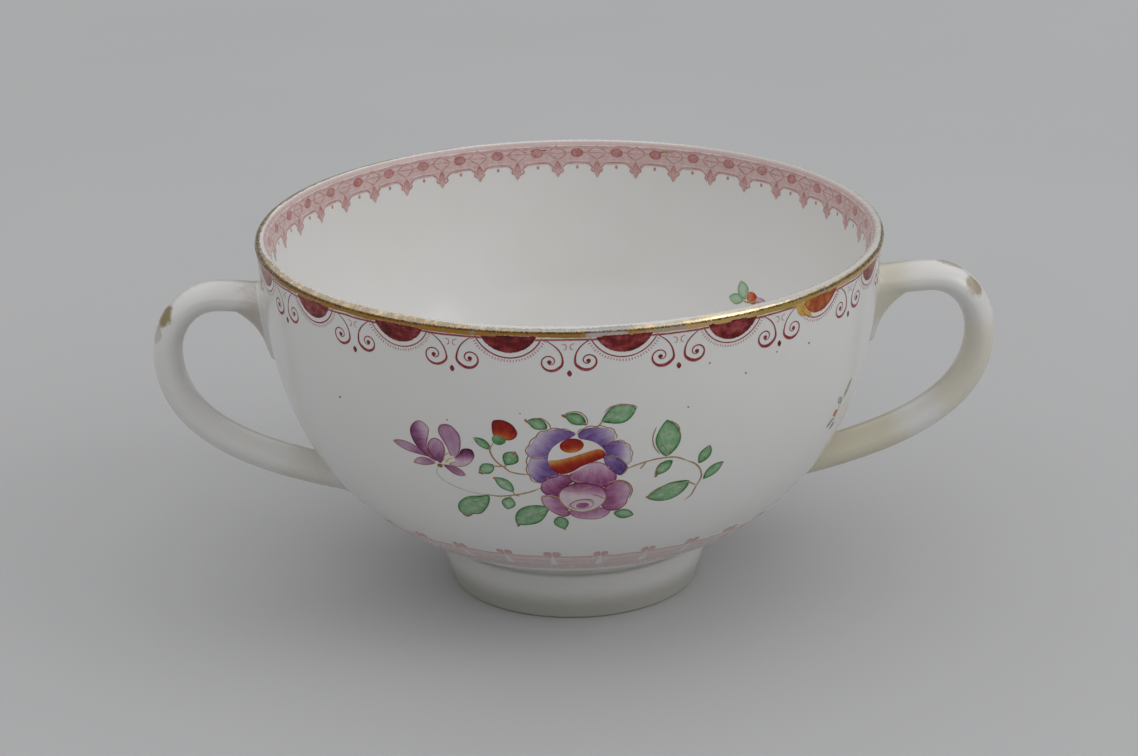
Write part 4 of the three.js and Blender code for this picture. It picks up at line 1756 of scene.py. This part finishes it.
@dataclass
class Spray:
    """A flower spray: a violet flower with an orange heart, a peony, a star flower, a bud and leaves."""

    wall: WallShape
    name: str
    azimuth: float = 0.0
    turn: float = 0.0
    scale: float = 1.0
    middle_drop: float = 22.0

    FULL_LEAVES = (
        ((-4.8, 14.4), (-7.5, 13.2), 1.9, 0.08, 0.5), ((0.2, 13.7), (-2.6, 12.2), 1.9, 0.06, 0.5),
        ((2.1, 13.4), (6.8, 11.5), 3.1, -0.02, 0.55), ((11.1, 20.2), (10.9, 13.9), 3.6, 0.04, 0.48),
        ((12.2, 20.9), (9.9, 23.3), 1.9, 0.05, 0.5), ((16.1, 22.3), (17.5, 19.3), 1.9, 0.04, 0.5),
        ((17.3, 25.5), (20.2, 22.9), 1.9, -0.05, 0.5), ((15.2, 25.2), (8.8, 27.4), 3.4, -0.08, 0.47),
        ((-5, 28.4), (-10.3, 32.8), 3.9, 0.06, 0.52), ((-3.9, 30.4), (-3, 33.5), 2.3, 0, 0.45),
        ((4.2, 29.9), (7.4, 30.9), 2.1, 0, 0.5), ((-12.5, 18.3), (-14.9, 16.4), 1.4, 0.05, 0.5),
        ((-10.8, 20.8), (-9.2, 18.3), 2.3, 0, 0.55),
    )
    PALE_LEAVES = (
        ((-12.3, 20.8), (-14.6, 22.4), 1.9, 0, 0.5), ((-10, 25.7), (-12.6, 23.1), 1.9, 0.06, 0.5),
        ((-10.6, 26.6), (-11.4, 29.3), 2.1, 0, 0.5),
    )
    BIG_LEAF = (
        (-13.7, 26.7), (-14.1, 28.7), (-15.5, 30.7), (-17.1, 31.2), (-18.3, 31.6), (-19.2, 30.8),
        (-18.9, 29.1), (-17.3, 27.5), (-15.2, 26.9),
    )
    FAINT_STEM = (
        ((-20.8, 22.5), (-21.1, 23.6), (-20.2, 24.8), (-18.3, 25.8), (-16.4, 26.3), (-14, 26.6)),
    )
    STEMS = (
        ((-14.4, 26.5), (-12.1, 26.6), (-9.7, 26.1), (-7.6, 25.4), (-6.1, 24.6)),
        ((5.6, 21.6), (6.7, 21.1), (8.3, 20.6), (10, 20.3), (12.4, 20.4), (14.4, 21.4)),
        ((14.2, 21.3), (15.7, 22.3), (16.6, 23.6), (16.9, 25), (16.4, 26.5), (15.9, 28.2), (14.9, 29.2)),
        ((8.4, 20.6), (7.6, 21.8)), ((15, 25.4), (16.3, 26.3)),
        ((-12.2, 17.1), (-12.7, 18.4), (-12, 20.1), (-10.9, 21.1), (-10.2, 21.8), (-8.9, 22.1),
         (-7.5, 22.2)),
        ((2.3, 13.3), (1.8, 14), (0.9, 14.3)), ((-10.7, 20.6), (-10.9, 21.4)),
        ((-10.6, 26.7), (-10.4, 26.2)), ((-10.1, 25.6), (-9.8, 26.2), (-9.2, 26.3)),
        ((-12.3, 21), (-11.2, 21)),
    )
    LOOSE_LINES = (
        ((-6.6, 12.7), (-5.5, 12.7), (-4.6, 13.5), (-4.3, 14.5)),
        ((-2.6, 12.1), (-2, 11.7), (-0.6, 11.7), (0.3, 12.7), (0.4, 13.8)),
        ((2.6, 11.9), (3.4, 11.1), (4.8, 10.8), (6.4, 11.1), (6.9, 11.5)),
        ((9.5, 14.9), (9.1, 16.4), (9.3, 18), (10.2, 19.6)), ((9.9, 23.6), (9.8, 22.6), (10.6, 21.4)),
        ((8.8, 27.5), (10, 26.1), (11.8, 25.2)), ((11.5, 14.2), (12.6, 15.3), (12.8, 17)),
    )
    DABS = (
        ((-7.7, 12.9), (-7.3, 13.4)), ((-2.9, 12.1), (-2.3, 12.5)), ((-0.2, 13.6), (0.3, 13.7)),
        ((10.1, 23.1), (9.8, 23.6)), ((9.4, 27.1), (8.8, 27.4)), ((-9.8, 32.4), (-10.3, 33.1)),
        ((-3.2, 33), (-2.9, 33.6)), ((-9.6, 18.9), (-9.2, 18.3)), ((-14, 22.6), (-14.7, 22.3)),
        ((-12.3, 23.1), (-12.7, 23.3)), ((-17.2, 31.2), (-18.2, 31.8), (-18.7, 31.4)),
    )
    VEINS = (
        ((-13.9, 27), (-15, 27.8), (-16.3, 28.4)), ((-5.4, 28.8), (-6.8, 29.8), (-8.2, 30.4)),
        ((2.4, 13.2), (3.6, 12.8)), ((11.3, 19.9), (11, 18.8), (10.4, 17.9)),
        ((11.4, 19.6), (12.1, 18.3)), ((15, 25.4), (13.4, 25.8), (11.9, 26.5)),
        ((-4, 30.8), (-3.6, 31.9)), ((6.1, 11.6), (6.6, 12.1)), ((17, 20.3), (17.4, 19.5)),
        ((19.3, 23.8), (20, 23.1)), ((6.5, 30.6), (7.2, 30.9)), ((-14.7, 16.6), (-13.6, 17.3)),
    )
    STAR_RAYS = (
        Petal(
            blade((-20.6, 21.2), (-27.5, 19.2), 1.7, 0.04, 0.66), ((-21, 21.2), (-27.5, 18.4)), 0.95, 0.4, 0
        ),
        Petal(blade((-20.9, 21.8), (-24.7, 22.5), 1.5, 0.1), ((-21.3, 21.7), (-24.6, 22.5)), 0.6, 0.25, 0),
        Petal(blade((-20.1, 21.7), (-16.6, 23.3), 1.5, 0, 0.6), ((-20.1, 21.9), (-17, 23.1)), 0.95, 0.45, 0),
    )
    STAR_PETALS = (
        Petal(
            ((-23.5, 15.4), (-24.2, 16.9), (-23.7, 19), (-22.1, 20.7), (-20.8, 21.4), (-21.9, 19.3),
             (-21.5, 17.4), (-21.2, 15.8), (-22.3, 14.8)),
            ((-24, 17.8), (-21.3, 17)), 1.15, 0.22,
        ),
        Petal(
            ((-18.3, 20.5), (-18.9, 18.4), (-19.8, 16.3), (-19.4, 15), (-18, 14.8), (-16.8, 16.2),
             (-16.8, 18.2), (-17.4, 19.8)),
            ((-19.3, 15.5), (-17.5, 20)), 0.5, 0.38,
        ),
        Petal(
            ((-18.9, 21.6), (-17.4, 19.8), (-16.6, 18.6), (-15.3, 18.5), (-15, 19.7), (-15.9, 21.1),
             (-17.3, 21.8)),
            ((-16.4, 18.5), (-16.2, 20.7)), 1.6, 0.2,
        ),
        Petal(
            ((-20.3, 21.6), (-21.6, 20.2), (-21.8, 18.8), (-21.2, 17.7), (-20.3, 17.3), (-19.4, 17.9),
             (-19.2, 19.3), (-19.7, 20.8)),
            ((-21.2, 21.2), (-19.9, 17.9)), 0.95, 0.38,
        ),
    )
    STAR_LINES = (
        ((-19.7, 21.2), (-19.4, 20.2), (-18.7, 19.5)), ((-19.4, 21.4), (-18.8, 20.6), (-18, 20.3)),
        ((-18.9, 21.5), (-18.2, 21.1), (-17.7, 21.1)),
    )
    BUD_CAP = (
        (-12.1, 13.7), (-11.4, 13.2), (-10.3, 13.3), (-9.3, 14), (-8.8, 15.3), (-9.5, 16.3),
        (-10.8, 16.4), (-12, 15.8),
    )
    BUD_CALYX = ((-12.2, 16), (-11.2, 15.8), (-10.4, 16.6), (-11.2, 17.3), (-12.1, 17))
    VIOLET_PETALS = (
        Petal(
            ((-1, 15.1), (-2.1, 14.6), (-3.3, 14.3), (-4.5, 14.6), (-5.7, 15), (-6.5, 15.9), (-7, 16.8),
             (-7.6, 17.7), (-7.6, 18.7), (-6.9, 19.3), (-4.7, 19.1), (-4, 17.4), (-2.3, 16.2)),
            ((-3.6, 17.2), (-6.3, 15.4)), 0.95, 0.2, 0,
        ),
        Petal(
            ((-6.9, 19.1), (-7.5, 19.9), (-7.7, 21.2), (-7.4, 22.4), (-6.7, 23.4), (-5.8, 23.6),
             (-4.9, 22.9), (-3.6, 22.4), (-3.8, 21), (-4.6, 19.2)),
            ((-4.6, 22), (-7.6, 20.6)), 1.2, 0.25,
        ),
        Petal(
            ((-0.9, 15.5), (-0.5, 14.6), (0.8, 14.2), (2.3, 14.3), (3.6, 14.8), (4, 15.7), (3.8, 16.6),
             (2.6, 17.6), (0.8, 16.8), (-0.5, 16.2)),
            ((1.4, 16.4), (4, 14.8)), 1, 0.2, 0,
        ),
        Petal(
            ((2.5, 17.1), (3.8, 16.6), (5.1, 16.9), (5.9, 17.9), (6.2, 19.4), (5.8, 20.8), (5.1, 20.6),
             (3.8, 19.7), (2.4, 19.4)),
            ((3.2, 18.4), (6.1, 18.4)), 1.15, 0.12,
        ),
        Petal(
            ((2.6, 19), (3.8, 19.2), (5, 20), (5.7, 21.3), (4.9, 22.6), (3.8, 21.9), (2.8, 20.6)),
            ((3, 19.4), (5, 22)), 0.8, 1.3, 2,
        ),
    )
    LEFT_SCALLOPS = (
        (-1.4, 15.1), (-2.8, 14.4), (-4.4, 14.5), (-5.8, 15.1), (-6.8, 16.3), (-7.6, 17.8), (-7.5, 19.1),
        (-7.7, 20.4), (-7.6, 22), (-6.9, 23.3), (-5.8, 23.6), (-4.9, 23),
    )
    UPPER_SCALLOPS = (
        (-0.9, 15.4), (-0.5, 14.6), (0.8, 14.1), (2.4, 14.2), (3.7, 14.8), (4.1, 15.8), (3.8, 16.5),
    )
    RIGHT_SCALLOPS = ((2.8, 17), (4.1, 16.6), (5.2, 16.9), (6, 17.9), (6.3, 19.5), (5.8, 20.8))
    VIOLET_LINES = (
        ((-7.5, 19), (-6.3, 19.3), (-5, 18.9)), ((2.6, 17.2), (3.3, 16.7), (3.9, 16.6)),
        ((2.6, 19.2), (3.9, 19.2), (5.1, 20), (5.8, 21.4), (5, 22.7)),
    )
    HEART_BOWL = (
        (-4.9, 19.4), (-4.4, 17.7), (-3.2, 16.5), (-1.8, 15.9), (-0.3, 16.1), (1.2, 16.6), (2.3, 17.6),
        (2.7, 18.8), (0.8, 20.1), (-1.4, 21.6), (-2.8, 22.1), (-4.3, 21.3),
    )
    HEART_BAND = (
        (-4.8, 19.7), (-3.6, 19.5), (-1.8, 19), (0.1, 18.3), (1.9, 17.8), (2.7, 18.4), (2.5, 19.3),
        (0.8, 20.1), (-0.6, 20.8), (-1.5, 21.5), (-2.8, 22), (-3.9, 21.7), (-4.6, 20.8),
    )
    PEONY_PETALS = (
        Petal(
            ((-2.4, 29.6), (-1.2, 30.8), (0.5, 31.2), (2.2, 31.2), (3.5, 30.3), (3.7, 29), (2.1, 28.7),
             (0.1, 29.2), (-1.6, 29)),
            ((0.6, 29.3), (0.9, 31.3)), 0.6, 0.3, 0,
        ),
        Petal(
            ((-6, 24), (-5.3, 22.7), (-3.9, 22.1), (-2.4, 22.1), (-1.3, 23), (-2.4, 24.2), (-3.3, 25.6),
             (-3.6, 26.6), (-5.1, 26.2), (-6.1, 25.1)),
            ((-3.2, 25.4), (-5.6, 22.7)), 1.25, 0.42,
        ),
        Petal(
            ((-6.1, 26.3), (-6, 27.8), (-5, 29.2), (-3.2, 30.5), (-2.1, 29.9), (-2.8, 28.2), (-3.4, 26.5),
             (-4.9, 26)),
            ((-3, 27.8), (-5.9, 27.8)), 0.75, 0.28,
        ),
        Petal(
            ((2.9, 23.9), (4.7, 23.6), (5.9, 24.2), (6.5, 25.6), (6.2, 27.2), (6, 28.3), (5, 29.4),
             (3.4, 29.4), (2.4, 28.2), (2.7, 26)),
            ((3, 26.4), (6.4, 26)), 0.85, 0.32,
        ),
        Petal(
            ((-1.8, 21.6), (-1.1, 20.9), (0.4, 20.2), (1.9, 20), (3.5, 21.1), (4.4, 22.7), (4, 23.8),
             (2.8, 24.6), (1.2, 24.5), (0.1, 24.1), (-1.3, 23.8), (-2.1, 22.6)),
            ((1.2, 24), (1.3, 20.4)), 0.95, 0.28, 2,
        ),
    )
    PEONY_CUP = (
        (-3.7, 26.3), (-3.3, 24.9), (-2.1, 24), (-0.5, 23.6), (1.2, 24), (2.6, 24.8), (3.1, 26.3),
        (2.7, 27.8), (1.3, 29.1), (-0.5, 29.5), (-2.2, 28.8), (-3.3, 27.6),
    )
    PEONY_LINES = (
        ((-2.9, 24.9), (-1.8, 25.1), (-0.5, 25), (1.1, 24.5)), ((1, 25.9), (2, 26.3), (2.8, 26.9)),
        ((-2.3, 28.3), (-1.9, 27.6), (-1, 27), (0.4, 26.8), (1.3, 27.2)),
        ((-5.9, 26.3), (-4.9, 26.1), (-3.8, 26.4)),
        ((-3.7, 26.3), (-3.3, 27.6), (-2.2, 28.8), (-0.5, 29.5), (1.3, 29.1), (2.7, 27.8)),
        ((3.2, 23.9), (4.8, 23.5), (6.1, 24.2), (6.7, 25.6), (6.4, 27.2)),
        ((-2, 22.4), (-1.5, 23.2), (-0.4, 23.6)),
    )

    def sheet(self, name: str) -> EnamelSheet:
        """Returns an empty sheet on the spray's part of the wall."""
        panel = Panel(self.wall, self.azimuth, turn=self.turn, scale=self.scale, pivot=self.middle_drop)
        return EnamelSheet(f"{self.name}_{name}", panel)

    @staticmethod
    def paint(sheet: EnamelSheet, petals: tuple[Petal, ...], coat: Coat) -> None:
        """Paints petals in one coat, each at its own strengths; the lowest ones keep soft edges."""
        for petal in petals:
            own = replace(coat, start=petal.start, end=petal.end, crisp=petal.layer > 0)
            sheet.wash(petal.outline, own, petal.run, petal.layer)

    def leaves(self) -> EnamelSheet:
        """Paints the leaves, darker at the base and rim, and the big outlined one at the left."""
        sheet = self.sheet("leaves")
        full = Coat(Pigment.LEAF, 1.35, 1, 0.66, 0.7, 0.4, ink=Pigment.MOSS, ink_strength=0.4)
        pale = replace(full, start=1, end=0.8, heart=0.5, heart_depth=0.6)
        for coat, leaves in ((full, self.FULL_LEAVES), (pale, self.PALE_LEAVES)):
            for base, tip, width, bow, widest in leaves:
                sheet.leaf(base, tip, width, coat, bow, widest)
        sheet.wash(self.BIG_LEAF, full, (self.BIG_LEAF[0], self.BIG_LEAF[5]))
        return sheet

    def drawn_lines(self) -> EnamelSheet:
        """Draws stems, brown tips, leaf veins and the loose brown lines beside some leaves."""
        sheet = self.sheet("stems_and_veins")
        for brush, paths in (
            (Brush(0.24, Pigment.MOSS, 0.22), self.FAINT_STEM),
            (Brush(0.28, Pigment.STEM, 0.9), self.STEMS),
            (Brush(0.18, Pigment.BROWN, 0.75), self.LOOSE_LINES),
            (Brush(0.45, Pigment.BROWN, 0.9, (0.7, 0.7)), self.DABS),
            (Brush(0.28, Pigment.MOSS, 0.7, (0.8, 0.2)), self.VEINS),
        ):
            for path in paths:
                sheet.stroke(path, brush, 3)
        return sheet

    def star_flower(self) -> EnamelSheet:
        """Paints the lilac star flower."""
        sheet = self.sheet("star_flower")
        lilac = Coat(Pigment.LILAC, ink=Pigment.STEM, ink_strength=0.45)
        for ray, reach in zip(self.STAR_RAYS, (0.7, 1, 1)):
            coat = replace(lilac, start=ray.start, end=ray.end, reach=reach)
            sheet.wash(ray.outline, coat, ray.run, ray.layer, False)
        self.paint(sheet, self.STAR_PETALS, lilac)
        heart = Coat(Pigment.YELLOW, 0.04, 0.12, crisp=True)
        sheet.wash(oval((-18.7, 20.7), 0.9, 0.6, -30), heart, layer=2)
        sheet.wash(oval((-20.4, 22.1), 0.42, 0.34), Coat(Pigment.BROWN, 0.9, 0.7, crisp=True), layer=2)
        for path in self.STAR_LINES:
            sheet.stroke(path, Brush(0.17, Pigment.STEM, 0.7), 3)
        return sheet

    def bud(self) -> EnamelSheet:
        """Paints the orange bud in its green calyx."""
        sheet = self.sheet("orange_bud")
        coat = Coat(Pigment.ORANGE, 1.9, 0.35, turned=Pigment.AMBER, ink_strength=0.5, crisp=True)
        sheet.wash(self.BUD_CAP, coat, ((-10.2, 14.3), (-11.3, 17.2)), 1)
        sheet.wash(self.BUD_CALYX, Coat(Pigment.LEAF, 0.9, 1.2, crisp=True), layer=2)
        return sheet

    def violet_petals(self) -> EnamelSheet:
        """Paints the violet flower's petals and their scalloped brown outlines."""
        sheet = self.sheet("violet_petals")
        self.paint(sheet, self.VIOLET_PETALS, Coat(Pigment.VIOLET, reach=0.95, ink_strength=0.1))
        thin = Brush(0.17, Pigment.BROWN, 0.95)
        sheet.stroke(scallops(self.LEFT_SCALLOPS, 9, 0.2), thin, 3)
        sheet.stroke(scallops(self.UPPER_SCALLOPS, 5, -0.16), Brush(0.16, Pigment.BROWN, 0.8), 3)
        sheet.stroke(scallops(self.RIGHT_SCALLOPS, 5, -0.16), Brush(0.15, Pigment.BROWN, 0.75), 3)
        for path in self.VIOLET_LINES:
            sheet.stroke(path, thin, 4)
        return sheet

    def violet_heart(self) -> EnamelSheet:
        """Paints the violet flower's white heart with the orange dot and band."""
        sheet = self.sheet("violet_heart")
        sheet.wash(self.HEART_BOWL, Coat(Pigment.ORANGE, 0, 0.03, crisp=True), layer=3)
        orange = Coat(Pigment.AMBER, 0.45, 1.8, turned=Pigment.ORANGE, reach=0.8, crisp=True)
        sheet.wash(self.HEART_BAND, orange, ((-1.8, 18.6), (-0.9, 21)), 4)
        dot = Coat(Pigment.ORANGE, 1.7, 0.45, turned=Pigment.AMBER, crisp=True)
        sheet.wash(oval((-1.7, 17.1), 1.6, 1.2, -8), dot, ((-1.8, 16.8), (-1.6, 18.6)), 4)
        return sheet

    def peony(self) -> EnamelSheet:
        """Paints the pink peony: outer petals, the pale cup, its heart and the brown lines."""
        sheet = self.sheet("peony")
        self.paint(sheet, self.PEONY_PETALS, Coat(Pigment.PINK, reach=0.95, ink_strength=0.4))
        coat = Coat(Pigment.PINK, 1, 0.14, reach=0.55, ink_strength=0.6, crisp=True)
        sheet.wash(self.PEONY_CUP, coat, ((0.1, 23.8), (-0.5, 28.4)), 3)
        ring = Coat(Pigment.PINK, 0.15, 0.2, crisp=True, ink_strength=0.35)
        sheet.wash(oval((-0.4, 27.9), 1.75, 1, -6), ring, layer=4)
        sheet.wash(oval((-0.3, 28.1), 1.1, 0.68, -6), Coat(Pigment.PINK, 0.5, 0.4, 1.1, 0.5), layer=5)
        for path in self.PEONY_LINES:
            sheet.stroke(path, Brush(0.22, Pigment.BROWN, 0.8), 6)
        return sheet

    def build(self, petal_enamel: Material, leaf_enamel: Material) -> list[Object]:
        """Builds the spray's pieces."""
        green = [sheet.build(leaf_enamel) for sheet in (self.leaves(), self.drawn_lines())]
        flowers = self.star_flower(), self.bud(), self.violet_petals(), self.violet_heart(), self.peony()
        return [*green, *[sheet.build(petal_enamel) for sheet in flowers]]


@dataclass
class SmallPainting:
    """The small things: the sprig inside, the sprig at the right handle, and stray specks."""

    wall: WallShape

    SPECKS = (
        ((-36.2, 14.4), 0.3, Pigment.BROWN), ((22.1, 8.8), 0.24, Pigment.BROWN),
        ((33.2, 7.2), 0.28, Pigment.BROWN), ((13.8, 12.4), 0.22, Pigment.BROWN),
        ((-8.3, 12), 0.16, Pigment.MOSS), ((-18.3, 14), 0.2, Pigment.MOSS),
        ((16.6, 6.1), 0.2, Pigment.CRIMSON), ((27.1, 6.8), 0.2, Pigment.CRIMSON),
    )

    def inner_sprig(self) -> EnamelSheet:
        """Paints the sprig on the inner wall, at the back right."""
        sheet = EnamelSheet("inner_sprig", Panel(self.wall, 135, side=Side.INNER))
        leaf = Coat(Pigment.LEAF, 0.75, 0.5, 0.35, 0.6, ink=Pigment.MOSS, ink_strength=0.2)
        sheet.leaf((0.1, 23.2), (-1.6, 20.2), 2.3, leaf)
        sheet.leaf((-0.2, 23.4), (-3.4, 23.3), 1.9, leaf)
        sheet.leaf((0.6, 24), (0.4, 26.6), 1.5, leaf)
        sheet.wash(oval((1.4, 22.6), 1.35, 1, 20), Coat(Pigment.ORANGE, 1, 0.5), layer=1)
        sheet.wash(oval((3.5, 22.9), 1.4, 0.8, 10), Coat(Pigment.PINK, 0.5, 0.2), layer=1)
        stem = Brush(0.3, Pigment.STEM, 0.9)
        sheet.stroke(((-0.6, 23.3), (0.6, 23.5), (2.2, 23.1), (3.4, 22.9)), stem, 2)
        sheet.stroke(((0.6, 23.5), (1.1, 22.6)), stem, 2)
        return sheet

    def handle_sprig(self) -> EnamelSheet:
        """Paints the narrow sprig that hangs beside the right handle."""
        sheet = EnamelSheet("right_sprig", Panel(self.wall, 61))
        leaf = Coat(Pigment.LEAF, 0.9, 0.6, 0.45, 0.5, ink=Pigment.MOSS, ink_strength=0.3)
        sheet.leaf((0.3, 20.6), (2.1, 17.8), 1.3, leaf)
        sheet.leaf((-0.2, 21.2), (-1.9, 19.8), 1.1, leaf)
        sheet.leaf((-1.3, 23.4), (-3.2, 24.5), 1.1, leaf)
        sheet.wash(oval((-1.5, 22.5), 0.8, 0.65, 20), Coat(Pigment.ORANGE, 1, 0.5), layer=1)
        sheet.wash(oval((-1, 25), 0.8, 0.6, -15), Coat(Pigment.PINK, 0.8, 0.35), layer=1)
        path = ((1.5, 18.9), (0.1, 20.6), (-0.6, 21.8), (-1, 23.2), (-1, 24.6))
        sheet.stroke(path, Brush(0.26, Pigment.STEM, 0.9), 2)
        return sheet

    def stray_specks(self) -> EnamelSheet:
        """Paints the few grains and splashes that the firing left on the front."""
        sheet = EnamelSheet("stray_specks", Panel(self.wall))
        for centre, size, pigment in self.SPECKS:
            sheet.wash(oval(centre, size * 0.7, size * 0.55, sides=8), Coat(pigment, 0.7, 0.6, crisp=True))
        return sheet

    def build(self, petal_enamel: Material) -> list[Object]:
        """Builds the small pieces."""
        sheets = (self.inner_sprig(), self.handle_sprig(), self.stray_specks())
        return [sheet.build(petal_enamel) for sheet in sheets]


@dataclass
class Studio:
    """Pale floor, soft top light and a camera at the photograph's angle."""

    floor_half_size: float = 6000.0
    floor_colour: Colour = (0.522, 0.525, 0.532, 1)
    floor_blotch: float = 1.03
    floor_tooth: float = 0.02
    floor_roughness: float = 0.95
    floor_mirror: float = 0.1
    world_colour: Colour = (0.98, 0.99, 1.0, 1)
    world_strength: float = 0.12
    lamp_aim: Spot = (0, 0, 30)
    lens: float = 60.0
    sensor_width: float = 23.6
    camera_range: Point = (0.01, 100)
    camera_distance: float = 450.5
    camera_elevation: float = math.radians(20.512)
    camera_roll: float = math.radians(-1.039)
    cup_turn: float = math.radians(2.0)
    aim: Spot = (-0.42, 0.0, 32.10)

    def floor(self) -> None:
        """Lays the pale floor."""
        bpy.ops.object.select_all(action="DESELECT")
        bpy.ops.mesh.primitive_plane_add(size=2 * self.floor_half_size * MM, location=(0, 0, 0))
        floor = bpy.context.object
        floor.name = "studio_floor"
        bench = MaterialBench("matt_grey_paper")
        place = bench.place_mm()
        tooth = bench.times(bench.noise(place, 1.8, 4, 0.6), self.floor_tooth)
        tone = bench.step(bench.noise(place, 0.006, 3), 0.3, 0.7)
        paler = tuple(channel * self.floor_blotch for channel in self.floor_colour[:3]) + (1,)
        colour = bench.blend(tone, self.floor_colour, paler)
        channels = {"Roughness": self.floor_roughness, "Specular IOR Level": self.floor_mirror}
        floor.data.materials.append(bench.dress(tooth, {"Base Color": colour, **channels}))

    def light(self) -> None:
        """Sets the pale surroundings and the large soft lamps overhead."""
        world = bpy.data.worlds.new("pale_room")
        world.use_nodes = True
        back = world.node_tree.nodes["Background"]
        back.inputs["Color"].default_value = self.world_colour
        back.inputs["Strength"].default_value = self.world_strength
        bpy.context.scene.world = world
        self.lamp("overhead", (0, 0, 700), 3600, 26.5)
        self.lamp("front_window", (0, -1500, 1500), 350, 0.5)
        self.lamp("right_side", (1300, -500, 900), 900, 4.2)

    def lamp(self, name: str, place: Spot, size: float, power: float) -> None:
        """Adds a soft square lamp that looks at the cup.

        Args:
            name: The lamp's name.
            place: Its centre.
            size: Its side length.
            power: Its power in watts.
        """
        bpy.ops.object.light_add(type="AREA", location=Vector(place) * MM)
        lamp = bpy.context.object
        lamp.name = name
        lamp.data.shape = "SQUARE"
        lamp.data.size = size * MM
        lamp.data.energy = power
        aim = Vector(self.lamp_aim) * MM - lamp.location
        lamp.rotation_euler = aim.to_track_quat("-Z", "Y").to_euler()

    def camera(self) -> None:
        """Places the camera: the cup stands turned by two degrees in its view."""
        data = bpy.data.cameras.new("camera")
        data.lens = self.lens
        data.sensor_fit = "HORIZONTAL"
        data.sensor_width = self.sensor_width
        data.clip_start, data.clip_end = self.camera_range
        camera = bpy.data.objects.new("camera", data)
        bpy.context.collection.objects.link(camera)
        turn = Matrix.Rotation(-self.cup_turn, 4, "Z")
        tilt = Matrix.Rotation(math.pi / 2 - self.camera_elevation, 4, "X")
        roll = Matrix.Rotation(self.camera_roll, 4, "Z")
        back = Matrix.Translation((0, 0, self.camera_distance * MM))
        camera.matrix_world = turn @ Matrix.Translation(Vector(self.aim) * MM) @ tilt @ roll @ back
        bpy.context.scene.camera = camera

    def build(self) -> None:
        """Builds the whole studio."""
        self.floor()
        self.light()
        self.camera()
        bpy.context.scene.view_settings.view_transform = "Standard"


def main() -> None:
    """Builds the cup and its studio."""
    logging.basicConfig(level=logging.INFO, format="%(message)s")
    bpy.ops.object.select_all(action="DESELECT")
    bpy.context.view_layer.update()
    groups = Groups()
    wall = WallShape()
    bowl_glaze = GlazeFinish("bowl_glaze", pool_and_shade_bands=(PoolAndShadeBand(8.4, 0.8, 0.15),)).material(groups)
    # The band at height 0 is painted shade: the foot darkens to grey-olive towards the table, where the
    # contact shadow falls. The band at 8.1 is glaze pooled in the neck.
    foot_glaze_with_painted_shade = GlazeFinish(
        "foot_glaze_with_painted_shade",
        white=(0.76, 0.755, 0.735, 1),
        pool_and_shade_colour=(0.38, 0.375, 0.32, 1),
        pool_and_shade_bands=(PoolAndShadeBand(8.1, 0.6, 0.08), PoolAndShadeBand(0, 3.8, 0.72)),
        bare_below=0.25,
    ).material(groups)
    cream, gilding, brown = (0.64, 0.58, 0.40, 1), (0.29, 0.22, 0.09, 1), (0.42, 0.31, 0.22, 1)
    stains = (
        Stain((42, 0, 17), 13, 0.7, cream, 0.3),
        Stain((48.5, 0, 45.5), 6, 0.5, cream, 0.4),
        Stain((65.5, 0, 31), 11, 0.45, cream, 0.3),
        Stain((-48.5, 0, 45), 5, 0.5, brown),
        Stain((-42, 0, 17), 6, 0.3, cream),
        Stain((62.2, -2.4, 46.2), 1.9, 0.7, gilding, 1.3),
        Stain((58.9, 0.6, 49.6), 2.3, 0.55, gilding, 1.3),
        Stain((-62.3, -1.8, 45), 2.1, 0.9, gilding, 1.1),
        Stain((-63.6, -2.2, 42), 1.6, 0.5, brown, 1.3),
    )
    handle_glaze = GlazeFinish("handle_glaze", white=(0.765, 0.76, 0.74, 1), stains=stains).material(groups)
    slip_glaze = GlazeFinish("slip_glaze", white=(0.755, 0.75, 0.72, 1), stains=stains[:2]).material(groups)
    gold = GoldFinish().material(wall, groups)
    mottled = EnamelFinish("crimson_enamel", 0.4, 0.7, 0.22, ragged=0.3, streak_across=1.8).material(groups)
    drawn = EnamelFinish("line_enamel", 0.25, 1.2, 0).material(groups)
    petals = EnamelFinish("petal_enamel", 0.14, 0.8, 0.16).material(groups)
    leaves = EnamelFinish("leaf_enamel", 0.25, 1.1, 0.15, 0.4).material(groups)
    cutters = WallCutters(wall)
    pieces = [
        *Handle(wall, "right", 0, 1.8).build(cutters, handle_glaze, slip_glaze),
        *Handle(wall, "left", math.pi, 1.2).build(cutters, handle_glaze, slip_glaze),
        Bowl(wall).build(bowl_glaze),
        FootRing(wall).build(foot_glaze_with_painted_shade),
        GiltLine(wall).build(gold),
        *OuterBorder(wall).build(mottled, drawn),
        *LaceBorder(wall).build(drawn),
        *FootBand(wall).build(drawn),
        *Spray(wall, "front_spray").build(petals, leaves),
        *Spray(wall, "back_spray", 180, 0.12, 0.86).build(petals, leaves),
        *SmallPainting(wall).build(petals),
    ]
    cutters.clear()
    Studio().build()
    for piece in pieces:
        log.info("%s: %d faces", piece.name, len(piece.data.polygons))


if __name__ == "__main__":
    main()
